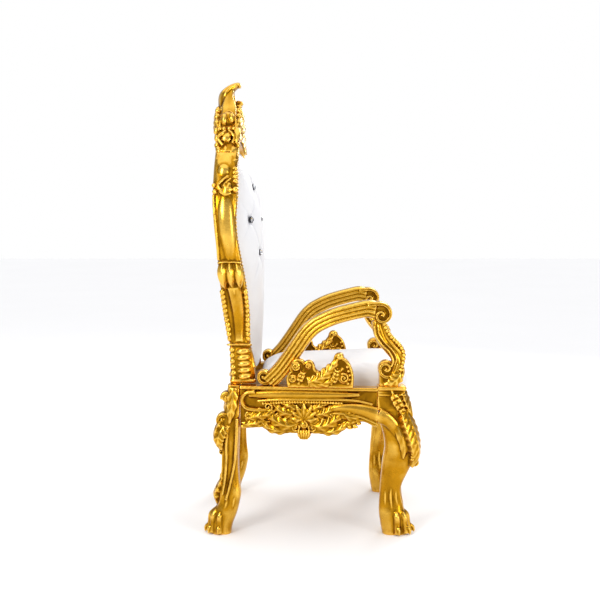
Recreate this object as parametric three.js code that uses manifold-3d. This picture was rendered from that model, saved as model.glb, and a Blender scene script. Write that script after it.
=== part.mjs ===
// A high-back ceremonial throne: a gilded, carved wooden frame with scrolled arms, cabriole legs on
// paw feet, a tall cartouche back and white button-tufted upholstery.
// Millimetres, +Z up, +X the way a sitter faces, -Y the sitter's right hand. The left half mirrors the right.
// Heights are written from a level 11 mm below the soles, and the last lines put the floor at zero.
import * as THREE from "three";
import { mergeVertices } from "three/addons/utils/BufferGeometryUtils.js";
import Module from "manifold-3d";

const wasm = await Module();
wasm.setup();

// Driving dimensions.
const sole = 11; // underside of the feet
const railTop = 600; // top of the side rails, where the arms and the back stand
const railBottom = 415; // lowest edge of the aprons, without their pendants
const railBack = -235; // where the side rail meets the rear leg
const railFront = 300; // where the side rail meets the front leg
const rearHalfWidth = 300; // outer face of the side rail at its rear end
const frontHalfWidth = 352; // outer face of the side rail at its front end
const railDepth = 42; // thickness of the rails' plain board
const deckTop = 570;
const deckDepth = 22;
const blockTop = 606; // top of the square blocks over the front legs
const stileFront = -167; // front of the back frame's feet
const crownJoint = 1505; // where the crest rail sits on the back frame
const padBottom = 655;
const padTop = 1528;
const gap = 0.35; // clearance that neighbouring pieces keep
const frameBar = 62; // width of the back frame's bar, seen from the front
const tuftPitch = 95; // sideways step between buttons
const tuftRows = [1372, 1243, 1110]; // heights of the rows of buttons
const buttonRadius = 12;
const tuftDepth = 19;

const gilding = new THREE.MeshStandardMaterial({ color: 0xd79a1c, roughness: 0.32, metalness: 0.9 });
const whiteLeather = new THREE.MeshStandardMaterial({ color: 0xf2f1ee, roughness: 0.45, metalness: 0 });
const crystal = new THREE.MeshStandardMaterial({ color: 0x9aa0a6, roughness: 0.08, metalness: 0.4 });
const plainWood = new THREE.MeshStandardMaterial({ color: 0xa9824f, roughness: 0.7, metalness: 0 });

const point = (x, y, z) => new THREE.Vector3(x, y, z);
const lerp = THREE.MathUtils.lerp;

// ---------------------------------------------------------------- solids

// A closed geometry as a manifold-3d solid, with its faces pointing out.
function solidOf(geometry) {
  const loose = geometry.index ? geometry.toNonIndexed() : geometry;
  const bare = new THREE.BufferGeometry().setAttribute("position", loose.getAttribute("position"));
  const merged = mergeVertices(bare, 1e-3);
  const corners = merged.index.array;
  const kept = [];
  for (let i = 0; i < corners.length; i += 3) {
    const [a, b, c] = corners.slice(i, i + 3);
    if (a !== b && b !== c && c !== a) kept.push(a, b, c);
  }
  const build = (triVerts) =>
    new wasm.Manifold(
      new wasm.Mesh({ numProp: 3, vertProperties: merged.attributes.position.array, triVerts }),
    );
  const made = build(new Uint32Array(kept));
  if (made.volume() > 0) return made;
  for (let i = 0; i < kept.length; i += 3) [kept[i + 1], kept[i + 2]] = [kept[i + 2], kept[i + 1]];
  return build(new Uint32Array(kept));
}

function geometryOf(solid) {
  const mesh = solid.getMesh();
  const geometry = new THREE.BufferGeometry();
  geometry.setAttribute("position", new THREE.BufferAttribute(new Float32Array(mesh.vertProperties), 3));
  geometry.setIndex(new THREE.BufferAttribute(new Uint32Array(mesh.triVerts), 1));
  geometry.computeVertexNormals();
  return geometry;
}

const joined = (...solids) => solids.flat(3).reduce((sum, solid) => sum.add(solid));

// The solid with the sealed pockets filled that overlapping carving can leave inside it.
function filled(solid) {
  const bodies = solid.decompose().filter((body) => body.volume() > 0);
  return joined(bodies);
}

function box(low, high) {
  const size = high.clone().sub(low);
  const middle = low.clone().add(high).multiplyScalar(0.5);
  return solidOf(new THREE.BoxGeometry(size.x, size.y, size.z).translate(middle.x, middle.y, middle.z));
}

const underFloor = box(point(-600, -600, -100), point(600, 600, sole));

// ---------------------------------------------------------------- forms

// Skins a list of rings, each a closed loop with the same count of points, and caps both ends.
function loft(rings) {
  const count = rings[0].length;
  const places = [];
  const put = (...corners) => corners.forEach((p) => places.push(p.x, p.y, p.z));
  for (let i = 0; i + 1 < rings.length; i++)
    for (let j = 0; j < count; j++) {
      const k = (j + 1) % count;
      put(rings[i][j], rings[i][k], rings[i + 1][k]);
      put(rings[i][j], rings[i + 1][k], rings[i + 1][j]);
    }
  for (const [ring, turned] of [[rings[0], true], [rings.at(-1), false]]) {
    const middle = ring.reduce((sum, p) => sum.add(p), point(0, 0, 0)).divideScalar(count);
    for (let j = 0; j < count; j++) {
      const k = (j + 1) % count;
      if (turned) put(middle, ring[k], ring[j]);
      else put(middle, ring[j], ring[k]);
    }
  }
  return solidOf(
    new THREE.BufferGeometry().setAttribute("position", new THREE.Float32BufferAttribute(places, 3)),
  );
}

const smooth = (points) => new THREE.CatmullRomCurve3(points, false, "centripetal");

// Runs a section along a curve. A section is a list of [out, across] offsets, where across is the
// given direction and out is square to it and to the curve.
function sweep(points, steps, section, across = point(0, 1, 0)) {
  const curve = smooth(points);
  const rings = [];
  for (let i = 0; i <= steps; i++) {
    const t = i / steps;
    const place = curve.getPointAt(t);
    const heading = curve.getTangentAt(t);
    const side = across.clone().addScaledVector(heading, -across.dot(heading)).normalize();
    const out = heading.clone().cross(side);
    rings.push(
      section(t).map(([u, w]) => place.clone().addScaledVector(out, u).addScaledVector(side, w)),
    );
  }
  return loft(rings);
}

// A rounded section: a superellipse that is square-shouldered when its power is high.
function rounded(halfOut, halfAcross, sides = 6, power = 2) {
  const corner = (s) => Math.sign(s) * Math.abs(s) ** (2 / power);
  return Array.from({ length: sides }, (_, i) => {
    const angle = ((i + 0.5) / sides) * 2 * Math.PI;
    return [halfOut * corner(Math.cos(angle)), halfAcross * corner(Math.sin(angle))];
  });
}

// Points of a flat spiral in the XZ plane that coils clockwise, seen from the sitter's right.
function spiral(centre, startRadius, endRadius, startDegrees, turns, power) {
  const count = Math.round(turns * 7);
  return Array.from({ length: count + 1 }, (_, i) => {
    const share = i / count;
    const radius = endRadius + (startRadius - endRadius) * (1 - share) ** power;
    const angle = THREE.MathUtils.degToRad(startDegrees - 360 * turns * share);
    return point(centre.x + radius * Math.cos(angle), centre.y, centre.z + radius * Math.sin(angle));
  });
}

// The sunk round ground that fills a volute, lying across Y.
function voluteGround(centre, radius, halfWidth) {
  const disc = new THREE.CylinderGeometry(radius, radius, 2 * halfWidth, 8);
  return solidOf(disc.translate(centre.x, centre.y, centre.z));
}

// A carved leaf lying along a curve, with lobed edges, a raised rib and a pointed tip. It stands up
// along face and sinks behind by its depth.
function leaf(points, face, { width, height, depth = 9, lobes = 3, steps = 4 }) {
  const fullness = (t) => Math.sin(Math.PI * (0.17 + 0.81 * t ** 0.85)) ** 0.75;
  const section = (t) => {
    const half = width * fullness(t) * (1 + 0.2 * Math.cos(2 * Math.PI * lobes * t)) + 0.6;
    const rise = height * (0.35 + 0.65 * Math.sin(Math.PI * (0.12 + 0.8 * t)));
    return [[0, -half], [rise, 0], [0, half], [-depth, 0]];
  };
  const run = points.at(-1).clone().sub(points[0]);
  return sweep(points, steps, section, face.clone().cross(run).normalize());
}

// A ridge that swells and narrows like a row of beads.
function beadRidge(points, radius, beads, across) {
  const section = (t) => {
    const swell = 0.6 + 0.4 * Math.abs(Math.sin(Math.PI * beads * t));
    return rounded(radius * swell, radius * swell, 4);
  };
  return sweep(points, beads * 2, section, across);
}

function bead(centre, radius, stretch = [1, 1, 1]) {
  const ball = new THREE.SphereGeometry(radius, 6, 4).scale(...stretch);
  return solidOf(ball.translate(centre.x, centre.y, centre.z));
}

// A value that follows rows of [key, value, value, ...] smoothly.
function follow(rows, key, column = 1) {
  const last = rows.length - 1;
  if (key <= rows[0][0]) return rows[0][column];
  if (key >= rows[last][0]) return rows[last][column];
  const i = rows.findIndex((row) => row[0] > key) - 1;
  const t = (key - rows[i][0]) / (rows[i + 1][0] - rows[i][0]);
  const at = (k) => rows[THREE.MathUtils.clamp(k, 0, last)][column];
  const [p, q, r, s] = [at(i - 1), at(i), at(i + 1), at(i + 2)];
  return q + 0.5 * t * (r - p + t * (2 * p - 5 * q + 4 * r - s + t * (3 * (q - r) + s - p)));
}

// ---------------------------------------------------------------- legs

// [height, rear edge, front edge, outer edge, inner edge] of each leg.
const frontLegRows = [
  [0, 326, 420, -338, -262], [45, 318, 420, -340, -260], [95, 311, 414, -336, -264],
  [135, 311, 404, -330, -270], [165, 313, 397, -328, -274], [205, 315, 400, -330, -272],
  [260, 319, 424, -338, -268], [310, 323, 446, -350, -268], [362, 330, 458, -362, -270],
  [405, 326, 448, -360, -278], [460, 312, 428, -356, -290], [520, 302, 408, -354, -292],
];
const rearLegRows = [
  [0, -350, -272, -332, -254], [45, -350, -266, -334, -252], [95, -338, -248, -332, -252],
  [135, -322, -238, -328, -254], [175, -318, -232, -325, -256], [240, -306, -238, -318, -256],
  [310, -306, -240, -314, -252], [375, -318, -238, -312, -246], [430, -322, -236, -308, -240],
  [500, -298, -236, -303, -238], [600 - gap, -284, -236, -300, -238],
];

function legShaft(rows, levels) {
  const loops = [];
  for (let i = 0; i <= levels; i++) {
    const z = lerp(sole, rows.at(-1)[0], i / levels);
    const [rear, front, outer, inner] = [1, 2, 3, 4].map((column) => follow(rows, z, column));
    const loop = rounded((front - rear) / 2, (outer - inner) / 2, 8, 2.6);
    loops.push(loop.map(([u, w]) => point((rear + front) / 2 + u, (outer + inner) / 2 - w, z)));
  }
  return loft(loops);
}

// Four toes with knuckles, spread like a fan about the way the paw points.
function paw(heel, direction, reach) {
  const girth = [11, 17, 14, 17];
  return [-50, -17, 17, 50].map((spread) => {
    const angle = direction + THREE.MathUtils.degToRad(spread);
    const at = (r, z) =>
      point(heel.x + r * Math.cos(angle), heel.y + r * 0.62 * Math.sin(angle), heel.z + z);
    const across = point(-Math.sin(angle), Math.cos(angle), 0);
    const path = [at(reach * 0.45, 104), at(reach * 0.78, 76), at(reach * 0.92, 44), at(reach * 0.97, sole - 6)];
    return sweep(path, 3, (t) => rounded(girth[Math.round(t * 3)] * 1.15, 17, 4), across);
  });
}

function frontLeg() {
  const rightFace = point(0, -1, 0);
  const block = box(point(railFront + gap, -frontHalfWidth - 3, 512), point(404, -290, blockTop));
  const kneeLeaf = leaf(
    [point(404, -352, 510), point(430, -360, 440), point(446, -362, 380), point(450, -352, 325), point(436, -340, 284)],
    point(0.75, -0.65, 0), { width: 36, height: 16, depth: 26, steps: 5 });
  const shoulderLeaf = leaf(
    [point(330, -352, 500), point(352, -362, 440), point(380, -366, 390), point(392, -358, 340)],
    rightFace, { width: 34, height: 10, depth: 14 });
  const cornerLeaf = leaf(
    [point(396, -330, 598), point(410, -335, 560), point(424, -342, 520), point(434, -344, 486)],
    point(0.9, -0.4, 0.1), { width: 30, height: 8, depth: 14 });
  const kneeCurl = voluteGround(point(455, -330, 352), 18, 26);
  const body = joined(legShaft(frontLegRows, 9), block, kneeLeaf, shoulderLeaf, cornerLeaf, kneeCurl,
    paw(point(364, -300, 0), 0, 68));
  const besideRail = box(point(200, -290 - gap, 424), point(500, 0, 700));
  return body.subtract(besideRail).subtract(underFloor);
}

function rearLeg() {
  const behind = point(-1, 0, 0);
  const topScroll = voluteGround(point(-286, -270, 550), 25, 25);
  const middleScroll = voluteGround(point(-302, -272, 455), 32, 26);
  const upperLeaf = leaf(
    [point(-306, -278, 466), point(-328, -278, 425), point(-332, -278, 380), point(-312, -280, 338)],
    behind, { width: 30, height: 9, depth: 16 });
  const curl = voluteGround(point(-309, -280, 332), 12, 20);
  const heelLeaf = leaf(
    [point(-302, -288, 238), point(-318, -288, 205), point(-334, -288, 165), point(-326, -288, 124)],
    behind, { width: 26, height: 9, depth: 16 });
  const body = joined(legShaft(rearLegRows, 9), topScroll, middleScroll, upperLeaf, curl, heelLeaf,
    paw(point(-302, -293, 0), Math.PI, 58));
  const besideRail = box(point(railBack - gap, -500, 400), point(0, 0, 700));
  return body.subtract(besideRail).subtract(underFloor);
}

// ---------------------------------------------------------------- rails

// Height of the scalloped lower edge, at a share of the rail's length.
const sideScallop = [
  [0, 430], [0.1, 434], [0.2, 437], [0.3, 422], [0.42, 414], [0.54, 415], [0.64, 418],
  [0.73, 430], [0.82, 458], [0.9, 440], [1, 418],
];
const frontScallop = [
  [0, 432], [0.1, 452], [0.2, 450], [0.32, 424], [0.5, 408], [0.68, 424], [0.8, 450], [0.9, 452], [1, 432],
];

function apronBoard(length, edge, top, steps) {
  const outline = new THREE.Shape();
  outline.moveTo(0, top);
  for (let i = 0; i <= steps; i++) outline.lineTo((length * i) / steps, follow(edge, i / steps));
  outline.lineTo(length, top);
  const board = new THREE.ExtrudeGeometry(outline, { depth: railDepth, bevelEnabled: false });
  return solidOf(board.rotateX(Math.PI / 2).translate(0, railDepth, 0));
}

// Petals that fan out from one root, as on a shell or an open flower.
function fan(root, count, spread, reach, width) {
  return Array.from({ length: count }, (_, i) => {
    const angle = THREE.MathUtils.degToRad(90 + lerp(-spread, spread, i / (count - 1)));
    const long = reach * (1 - 0.28 * Math.abs((2 * i) / (count - 1) - 1));
    const at = (share, lift) =>
      point(root.x + long * share * Math.cos(angle), root.y - lift, root.z + long * share * Math.sin(angle));
    const petal = (t) => rounded(width * (0.4 + 0.6 * Math.sin(Math.PI * (0.1 + 0.8 * t))), 9, 4);
    return sweep([at(0.05, 2), at(0.5, 9), at(0.85, 8), at(1, 2)], 2, petal);
  });
}

// The carving that every apron has: a fan over a pendant bud, and leaves sweeping to each side.
function apronCarving(centre, low) {
  const outward = point(0, -1, 0);
  const sides = [-1, 1].map((way) => {
    const at = (x, lift, z) => point(centre + way * x, -lift, low + z);
    return leaf([at(18, 3, 56), at(62, 6, 46), at(112, 5, 68), at(146, 2, 108)], outward, { width: 32, height: 11 });
  });
  return [...fan(point(centre, -2, low + 62), 5, 78, 74, 14), ...sides,
    bead(point(centre, -7, low + 44), 20, [1, 0.7, 1]), bead(point(centre, -6, low + 7), 26, [1.1, 0.62, 0.9])];
}

function sideRail() {
  const run = railFront - railBack;
  const flare = frontHalfWidth - rearHalfWidth;
  const length = Math.hypot(run, flare);
  const topMould = sweep([point(-8, -1, 585), point(length + 8, -1, 585)], 1, () => rounded(15, 13, 6, 2.4));
  const rearScroll = sweep(
    [point(120, -2, 508), point(64, -4, 506), point(22, -5, 516), point(9, -5, 545), point(24, -5, 570), point(56, -3, 578)],
    5, () => rounded(9, 12, 4));
  const waveBand = sweep(
    [point(length * 0.68, -4, 505), point(length * 0.79, -8, 510), point(length * 0.9, -9, 490), point(length + 6, -6, 458)],
    4, (t) => rounded(16 + 5 * t, 12, 4));
  const local = joined(apronBoard(length, sideScallop, railTop, 12), topMould, rearScroll, waveBand,
    apronCarving(length * 0.47, railBottom - 8));
  const turn = -THREE.MathUtils.radToDeg(Math.atan2(flare, run));
  const placed = local.rotate([0, 0, turn]).translate([railBack, -rearHalfWidth, 0]);
  return placed.intersect(box(point(railBack + gap, -500, 300), point(railFront - gap, 0, railTop)));
}

function frontRail() {
  const half = 290 - gap;
  const length = 2 * half;
  const topMould = sweep([point(-4, -2, 556), point(length + 4, -2, 556)], 1, () => rounded(13, 13, 6, 2.4));
  const local = joined(apronBoard(length, frontScallop, deckTop, 12), topMould,
    apronCarving(length / 2, 402));
  const placed = local.rotate([0, 0, 90]).translate([396, -half, 0]);
  return placed.intersect(box(point(354, -half, 300), point(460, half, deckTop)));
}

function rearRail() {
  const half = 238 - gap;
  const outline = new THREE.Shape();
  outline.moveTo(-half, deckTop);
  outline.lineTo(-half, 480);
  outline.quadraticCurveTo(0, 540, half, 480);
  outline.lineTo(half, deckTop);
  const board = new THREE.ExtrudeGeometry(outline, { depth: 30, bevelEnabled: false, curveSegments: 8 });
  return solidOf(board.rotateX(Math.PI / 2).rotateZ(Math.PI / 2).translate(-268, 0, 0));
}

// ---------------------------------------------------------------- arms

// The arms draw apart towards the front.
const armY = (x) => -lerp(276, 325, THREE.MathUtils.clamp((x + 150) / 450, 0, 1) ** 0.8);
const onArm = (x, z) => point(x, armY(x), z);

// [x, z, half thickness] along the middle of the arm's side, from its rear scroll to its front scroll.
const armRows = [
  [-120, 610, 16], [-77, 655, 18], [-41, 703, 21], [-1, 762, 25], [21, 794, 27], [38, 814, 27], [61, 834, 27],
  [85, 848, 27], [124, 866, 26], [157, 877, 26], [190, 886, 26], [227, 895, 26], [262, 901, 28], [292, 896, 30],
];

// [x, z, half thickness] down the support under the front of the arm.
const supportRows = [
  [298, 860, 22], [304, 828, 25], [318, 790, 25], [343, 756, 24], [367, 728, 24], [378, 700, 23], [373, 668, 20],
  [360, 642, 18],
];

// A band's section: reeds down each side and a crowned top.
function reeded(half, halfWidth, crown) {
  const side = [[-half, 0.75], [-half * 0.3, 1], [half * 0.5, 0.94], [half + crown, 0.6]];
  const inner = side.map(([u, w]) => [u, halfWidth * w]);
  return [...inner, ...inner.map(([u, w]) => [u, -w]).reverse()];
}

function band(rows, steps, halfWidth, crown) {
  const path = rows.map(([x, z]) => onArm(x, z));
  const curve = smooth(path);
  const byX = rows.map(([x, z, half]) => [x - z, half]);
  const section = (t) => {
    const { x, z } = curve.getPointAt(t);
    return reeded(follow(byX, x - z), halfWidth, crown);
  };
  return sweep(path, steps, section);
}

function arm() {
  const rearVolute = onArm(-140, 636);
  const frontVolute = onArm(313, 881);
  const lowVolute = onArm(333, 673);
  const frontCoil = sweep([onArm(262, 922), ...spiral(frontVolute, 44, 7, 96, 1.35, 1.6)], 10,
    (t) => rounded(lerp(9, 5, t), 33, 4, 4));
  const lowCoil = sweep([onArm(380, 690), ...spiral(lowVolute, 39, 6, -20, 1.3, 1.4)], 9,
    (t) => rounded(lerp(9, 5, t), 29, 4, 4));
  const rearCoil = sweep([onArm(-112, 618), ...spiral(rearVolute, 29, 6, -62, 1.3, 1.4)], 9,
    (t) => rounded(lerp(9, 5, t), 28, 4, 4));
  const foot = box(point(306, -348, blockTop + gap), point(368, -300, 650));
  const body = joined(band(armRows, 10, 31, 6), band(supportRows, 6, 26, 4), frontCoil, lowCoil, rearCoil,
    foot, voluteGround(rearVolute, 25, 20), voluteGround(frontVolute, 34, 22), voluteGround(lowVolute, 32, 20));
  const overRail = box(point(-400, -500, 400), point(railFront, 0, railTop + gap));
  const overBlock = box(point(railFront - 1, -500, 400), point(500, 0, blockTop + gap));
  const besideStile = box(point(-400, -500, 400), point(stileFront + gap, 0, 900));
  return body.subtract(overRail).subtract(overBlock).subtract(besideStile);
}

// The carved cresting that stands on the side rail, under the arm.
function sideCresting() {
  const face = -350;
  const depth = 28;
  const outline = new THREE.Shape();
  outline.moveTo(-16, railTop + gap);
  outline.bezierCurveTo(-28, 625, -24, 650, -8, 662);
  outline.bezierCurveTo(-14, 700, 10, 716, 26, 708);
  outline.quadraticCurveTo(40, 704, 44, 692);
  outline.bezierCurveTo(56, 712, 80, 704, 82, 676);
  outline.quadraticCurveTo(96, 648, 120, 664);
  outline.quadraticCurveTo(156, 690, 166, 712);
  outline.bezierCurveTo(168, 742, 200, 742, 200, 716);
  outline.bezierCurveTo(230, 700, 246, 650, 234, railTop + gap);
  const board = new THREE.ExtrudeGeometry(outline, { depth, bevelEnabled: false, curveSegments: 4 });
  const slab = solidOf(board.rotateX(Math.PI / 2).translate(0, face + depth, 0));
  const lobes = [[14, 682, 22], [4, 634, 18], [62, 682, 15], [194, 640, 30]].map(([x, z, radius]) =>
    bead(point(x, face + 2, z), radius, [1, 0.5, 1]),
  );
  const sprig = leaf([point(60, face, 622), point(104, face - 2, 634), point(150, face - 2, 676), point(180, face, 716)],
    point(0, -1, 0), { width: 22, height: 10, lobes: 4 });
  const carved = joined(slab, lobes, sprig).rotate([0, 0, -5]).translate([0, 8, 0]);
  const armRoom = sweep(armRows.map(([x, z]) => onArm(x, z)), 8, () => rounded(46, 38, 4, 4));
  return carved.subtract(armRoom).subtract(box(point(-300, -500, 400), point(500, 0, railTop + gap)));
}

// ---------------------------------------------------------------- back

// [height, half width of the back frame, middle of its depth, its depth].
const backRows = [
  [600, 276, -224, 104], [650, 272, -226, 98], [700, 266, -230, 92], [760, 254, -240, 78], [820, 250, -244, 82],
  [880, 256, -250, 90], [940, 268, -255, 92], [1000, 288, -264, 98], [1060, 308, -271, 92], [1140, 326, -279, 82],
  [1220, 335, -288, 78], [1300, 330, -289, 88], [1370, 312, -288, 94], [1440, 282, -288, 90], [1500, 240, -284, 92],
  [1550, 186, -283, 98], [1585, 120, -284, 100], [1600, 0, -284, 100],
];
const backHalf = (z) => follow(backRows, z, 1);
const backX = (z) => follow(backRows, z, 2);

// The frame's bar, as one hoop from the right foot over the crown to the left foot.
function hoop() {
  const rise = backRows.map(([z, half, x]) => {
    const tilt = THREE.MathUtils.clamp((z - 1500) / 100, 0, 1);
    return point(x, -Math.max(0, half - (frameBar / 2) * (1 - tilt)), z - (frameBar / 2) * tilt);
  });
  const path = [...rise, ...rise.slice(0, -1).reverse().map((p) => point(p.x, -p.y, p.z))];
  const curve = smooth(path);
  const section = (t) => {
    const { z } = curve.getPointAt(t);
    return rounded(frameBar / 2, follow(backRows, z, 3) / 2, 8, 3);
  };
  return sweep(path, 28, section, point(1, 0, 0));
}

// The carving on the outer face of one side of the back frame.
function stileCarving(side) {
  const outward = point(0, side, 0);
  const at = (z, out, forward) => point(backX(z) + forward, side * (backHalf(z) + out), z);
  return [
    beadRidge([at(618, -4, -2), at(735, -4, 2)], 18, 3, point(1, 0, 0)),
    sweep([at(748, -30, -44), at(752, 1, -42), at(752, 1, 42), at(748, -30, 44)], 5, () => rounded(9, 8, 4),
      point(0, 0, 1)),
    leaf([at(790, -6, -16), at(870, 0, -30), at(972, 6, -46)], outward,
      { width: 20, height: 11, lobes: 2, steps: 3, depth: 14 }),
    leaf([at(790, -6, 14), at(870, 0, 28), at(985, 6, 46)], outward,
      { width: 20, height: 11, lobes: 2, steps: 3, depth: 14 }),
    leaf([at(1075, -8, -8), at(1020, 6, -6), at(930, -4, 0)], outward,
      { width: 44, height: 15, depth: 16 }),
    leaf([at(1320, -10, 0), at(1370, 4, -6), at(1430, 16, -26)], outward,
      { width: 38, height: 12, depth: 16 }),
    leaf([at(1325, -10, 28), at(1380, 4, 40), at(1450, 0, 28)], outward,
      { width: 18, height: 12, steps: 3, lobes: 2, depth: 14 }),
  ];
}

function backFrame() {
  const crossRail = box(point(-262, -230, 605), point(-212, 230, 650));
  const body = joined(hoop(), crossRail, stileCarving(-1), stileCarving(1));
  return body.intersect(box(point(-500, -400, railTop + gap), point(0, 400, crownJoint - gap)));
}

function crestRail() {
  const ahead = point(1, 0, 0);
  const shell = Array.from({ length: 5 }, (_, i) => {
    const angle = THREE.MathUtils.degToRad(lerp(-66, 66, i / 4));
    const reach = 120 - 26 * Math.abs(i / 2 - 1);
    const at = (share, forward) =>
      point(-292 + forward, reach * share * Math.sin(angle), 1590 + reach * share * Math.cos(angle));
    const ray = (t) => rounded(25 * (0.5 + 0.5 * Math.sin(Math.PI * (0.1 + 0.8 * t))), 17, 4);
    return sweep([at(0.1, 34), at(0.5, 50), at(0.82, 46), at(1, 28)], 2, ray, ahead);
  });
  const core = sweep([point(-286, 0, 1560), point(-290, 0, 1640), point(-292, 0, 1700), point(-294, 0, 1742)], 4,
    (t) => rounded(lerp(96, 34, t), lerp(48, 32, t), 8, 2.3), ahead);
  const frondRows = [[0, 35, 40], [0.3, 33, 46], [0.55, 26, 42], [0.75, 13, 34], [0.9, 9, 26], [1, 5, 18]];
  const frond = sweep(
    [point(-292, 0, 1696), point(-297, 0, 1735), point(-290, 0, 1760), point(-266, 0, 1780), point(-243, 0, 1782),
      point(-236, 0, 1764)],
    7, (t) => rounded(follow(frondRows, t, 1), follow(frondRows, t, 2), 6));
  const nose = leaf([point(-262, 0, 1640), point(-248, 0, 1690), point(-240, 0, 1722)], ahead,
    { width: 30, height: 9, lobes: 2, steps: 4, depth: 14 });
  const padLeaf = leaf([point(-250, 0, 1604), point(-236, 0, 1560), point(-228, 0, 1522), point(-221, 0, 1494)], ahead,
    { width: 56, height: 9, depth: 4 });
  const sides = [-1, 1].map((side) => {
    const at = (y, z, forward = 0) => point(-286 + forward, side * y, z);
    return [
      sweep([at(200, 1530), at(176, 1586), at(128, 1622), at(90, 1652), at(74, 1690), at(90, 1716), at(110, 1700)],
        7, (t) => rounded(lerp(18, 10, t), lerp(46, 30, t), 4), ahead),
      leaf([at(50, 1600, 38), at(110, 1624, 44), at(180, 1588, 36)], ahead, { width: 26, height: 13, lobes: 2, steps: 3, depth: 18 }),
      leaf([at(50, 1600, -38), at(110, 1624, -44), at(180, 1588, -36)], point(-1, 0, 0),
        { width: 26, height: 13, lobes: 2, steps: 3, depth: 18 }),
    ];
  });
  const spine = beadRidge([point(-334, 0, 1556), point(-338, 0, 1640), point(-326, 0, 1700)], 14, 4,
    point(0, 1, 0));
  const crown = hoop().intersect(box(point(-500, -400, crownJoint), point(0, 400, 1700)));
  return joined(crown, shell, core, frond, nose, padLeaf, sides, spine);
}

// ---------------------------------------------------------------- upholstery

// [height, front of the back pad on its middle line].
const padFront = [
  [640, -172], [680, -162], [760, -157], [860, -152], [1000, -149], [1120, -149], [1240, -155], [1340, -168],
  [1420, -188], [1480, -222], [1530, -258],
];

const padHalf = (z) => {
  const close = Math.max(0, (z - 1440) / (padTop - 1440));
  return (backHalf(z) - frameBar - 9) * Math.sqrt(Math.max(0.02, 1 - close ** 2));
};

// How far forward the pad's face is at a place on it.
function padFace(y, z) {
  const share = Math.min(1, Math.abs(y) / padHalf(z));
  return lerp(backX(z) + 14, follow(padFront, z), (1 - share ** 2.6) ** 0.55);
}

const buttonPlaces = tuftRows.flatMap((z, row) =>
  (row % 2 ? [-2, 0, 2] : [-1, 1]).map((column) => ({ y: column * tuftPitch, z })),
);

function backPad() {
  const levels = 14;
  const rings = Array.from({ length: levels + 1 }, (_, i) => {
    const z = lerp(padBottom, padTop, 1 - (1 - i / levels) ** 1.15);
    const half = padHalf(z);
    const rear = backX(z) - 10;
    const ring = [-1, -0.92, -0.75, -0.45, 0, 0.45, 0.75, 0.92, 1].map((share) =>
      point(padFace(share * half * 0.999, z), share * half, z),
    );
    return [...ring, point(rear, half, z), point(rear, -half, z)];
  });
  return buttonPlaces.reduce((pad, { y, z }) => {
    const dimple = new THREE.ConeGeometry(34, 44, 7).rotateZ(Math.PI / 2);
    return pad.subtract(solidOf(dimple.translate(padFace(y, z) - tuftDepth + 20, y, z)));
  }, loft(rings));
}

function tuftButton({ y, z }) {
  const profile = [[0, -3], [6, -3], [buttonRadius, 2], [buttonRadius * 0.6, 7], [0, 9]];
  const gem = new THREE.LatheGeometry(profile.map(([r, h]) => new THREE.Vector2(r, h)), 8);
  return solidOf(gem.rotateZ(-Math.PI / 2).translate(padFace(y, z) - tuftDepth + 16, y, z));
}

function backPanel() {
  const levels = 12;
  const rings = Array.from({ length: levels + 1 }, (_, i) => {
    const z = lerp(padBottom + 4, padTop - 2, i / levels);
    const half = padHalf(z);
    const [rear, front] = [backX(z) - 26, backX(z) - 13];
    return [point(rear, -half, z), point(rear, half, z), point(front, half, z), point(front, -half, z)];
  });
  return loft(rings);
}

// [height above the deck, inset] of the seat cushion's side, up to its crown.
const cushionRows = [[0.5, 20], [12, 5], [34, 0], [58, 3], [78, 14], [93, 40], [101, 100], [104, 190]];

function seatCushion() {
  const rear = -168;
  const front = 448;
  const corner = (s) => Math.sign(s) * Math.abs(s) ** 0.28;
  const rings = cushionRows.map(([height, inset]) =>
    Array.from({ length: 20 }, (_, i) => {
      const angle = ((i + 0.5) / 20) * 2 * Math.PI;
      const x = lerp(rear + inset, front - inset, 0.5 + 0.5 * corner(Math.cos(angle)));
      const share = (x - rear) / (front - rear);
      const halfWidth = lerp(238, 284, share) - inset;
      const lift = lerp(-9, 9, share) * THREE.MathUtils.smoothstep(height, 46, 102);
      return point(x, halfWidth * corner(Math.sin(angle)), deckTop + height + lift);
    }),
  );
  return loft(rings);
}

function seatDeck() {
  const outline = new THREE.Shape();
  const right = [[railBack + gap, -257], [railFront - gap, -309], [railFront - gap, -290 + gap], [354 - gap, -290 + gap]];
  outline.moveTo(railBack + gap, 257);
  right.forEach(([x, y]) => outline.lineTo(x, y));
  right.slice(1).reverse().forEach(([x, y]) => outline.lineTo(x, -y));
  const board = new THREE.ExtrudeGeometry(outline, { depth: deckDepth, bevelEnabled: false });
  return solidOf(board.translate(0, 0, deckTop - deckDepth));
}

// ---------------------------------------------------------------- assembly

const throne = new THREE.Group();

function place(name, solid, material) {
  const mesh = new THREE.Mesh(geometryOf(filled(solid)), material);
  mesh.name = name;
  throne.add(mesh);
  return mesh;
}

function placePair(name, solid, material) {
  place(name + "_right", solid, material);
  place(name + "_left", solid, material).scale.y = -1;
}

placePair("front_leg", frontLeg(), gilding);
placePair("rear_leg", rearLeg(), gilding);
placePair("side_rail", sideRail(), gilding);
placePair("arm", arm(), gilding);
placePair("side_cresting", sideCresting(), gilding);
place("front_rail", frontRail(), gilding);
place("rear_rail", rearRail(), gilding);
place("seat_deck", seatDeck(), plainWood);
place("back_frame", backFrame(), gilding);
place("crest_rail", crestRail(), gilding);
place("back_pad", backPad(), whiteLeather);
place("back_panel", backPanel(), whiteLeather);
place("seat_cushion", seatCushion(), whiteLeather);
buttonPlaces.forEach((spot, i) => place(`tuft_button_${i + 1}`, tuftButton(spot), crystal));

// The origin is on the floor, under the middle of the throne's box.
const span = new THREE.Box3().setFromObject(throne);
throne.position.set(-(span.min.x + span.max.x) / 2, 0, -span.min.z);

export default throne;
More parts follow.
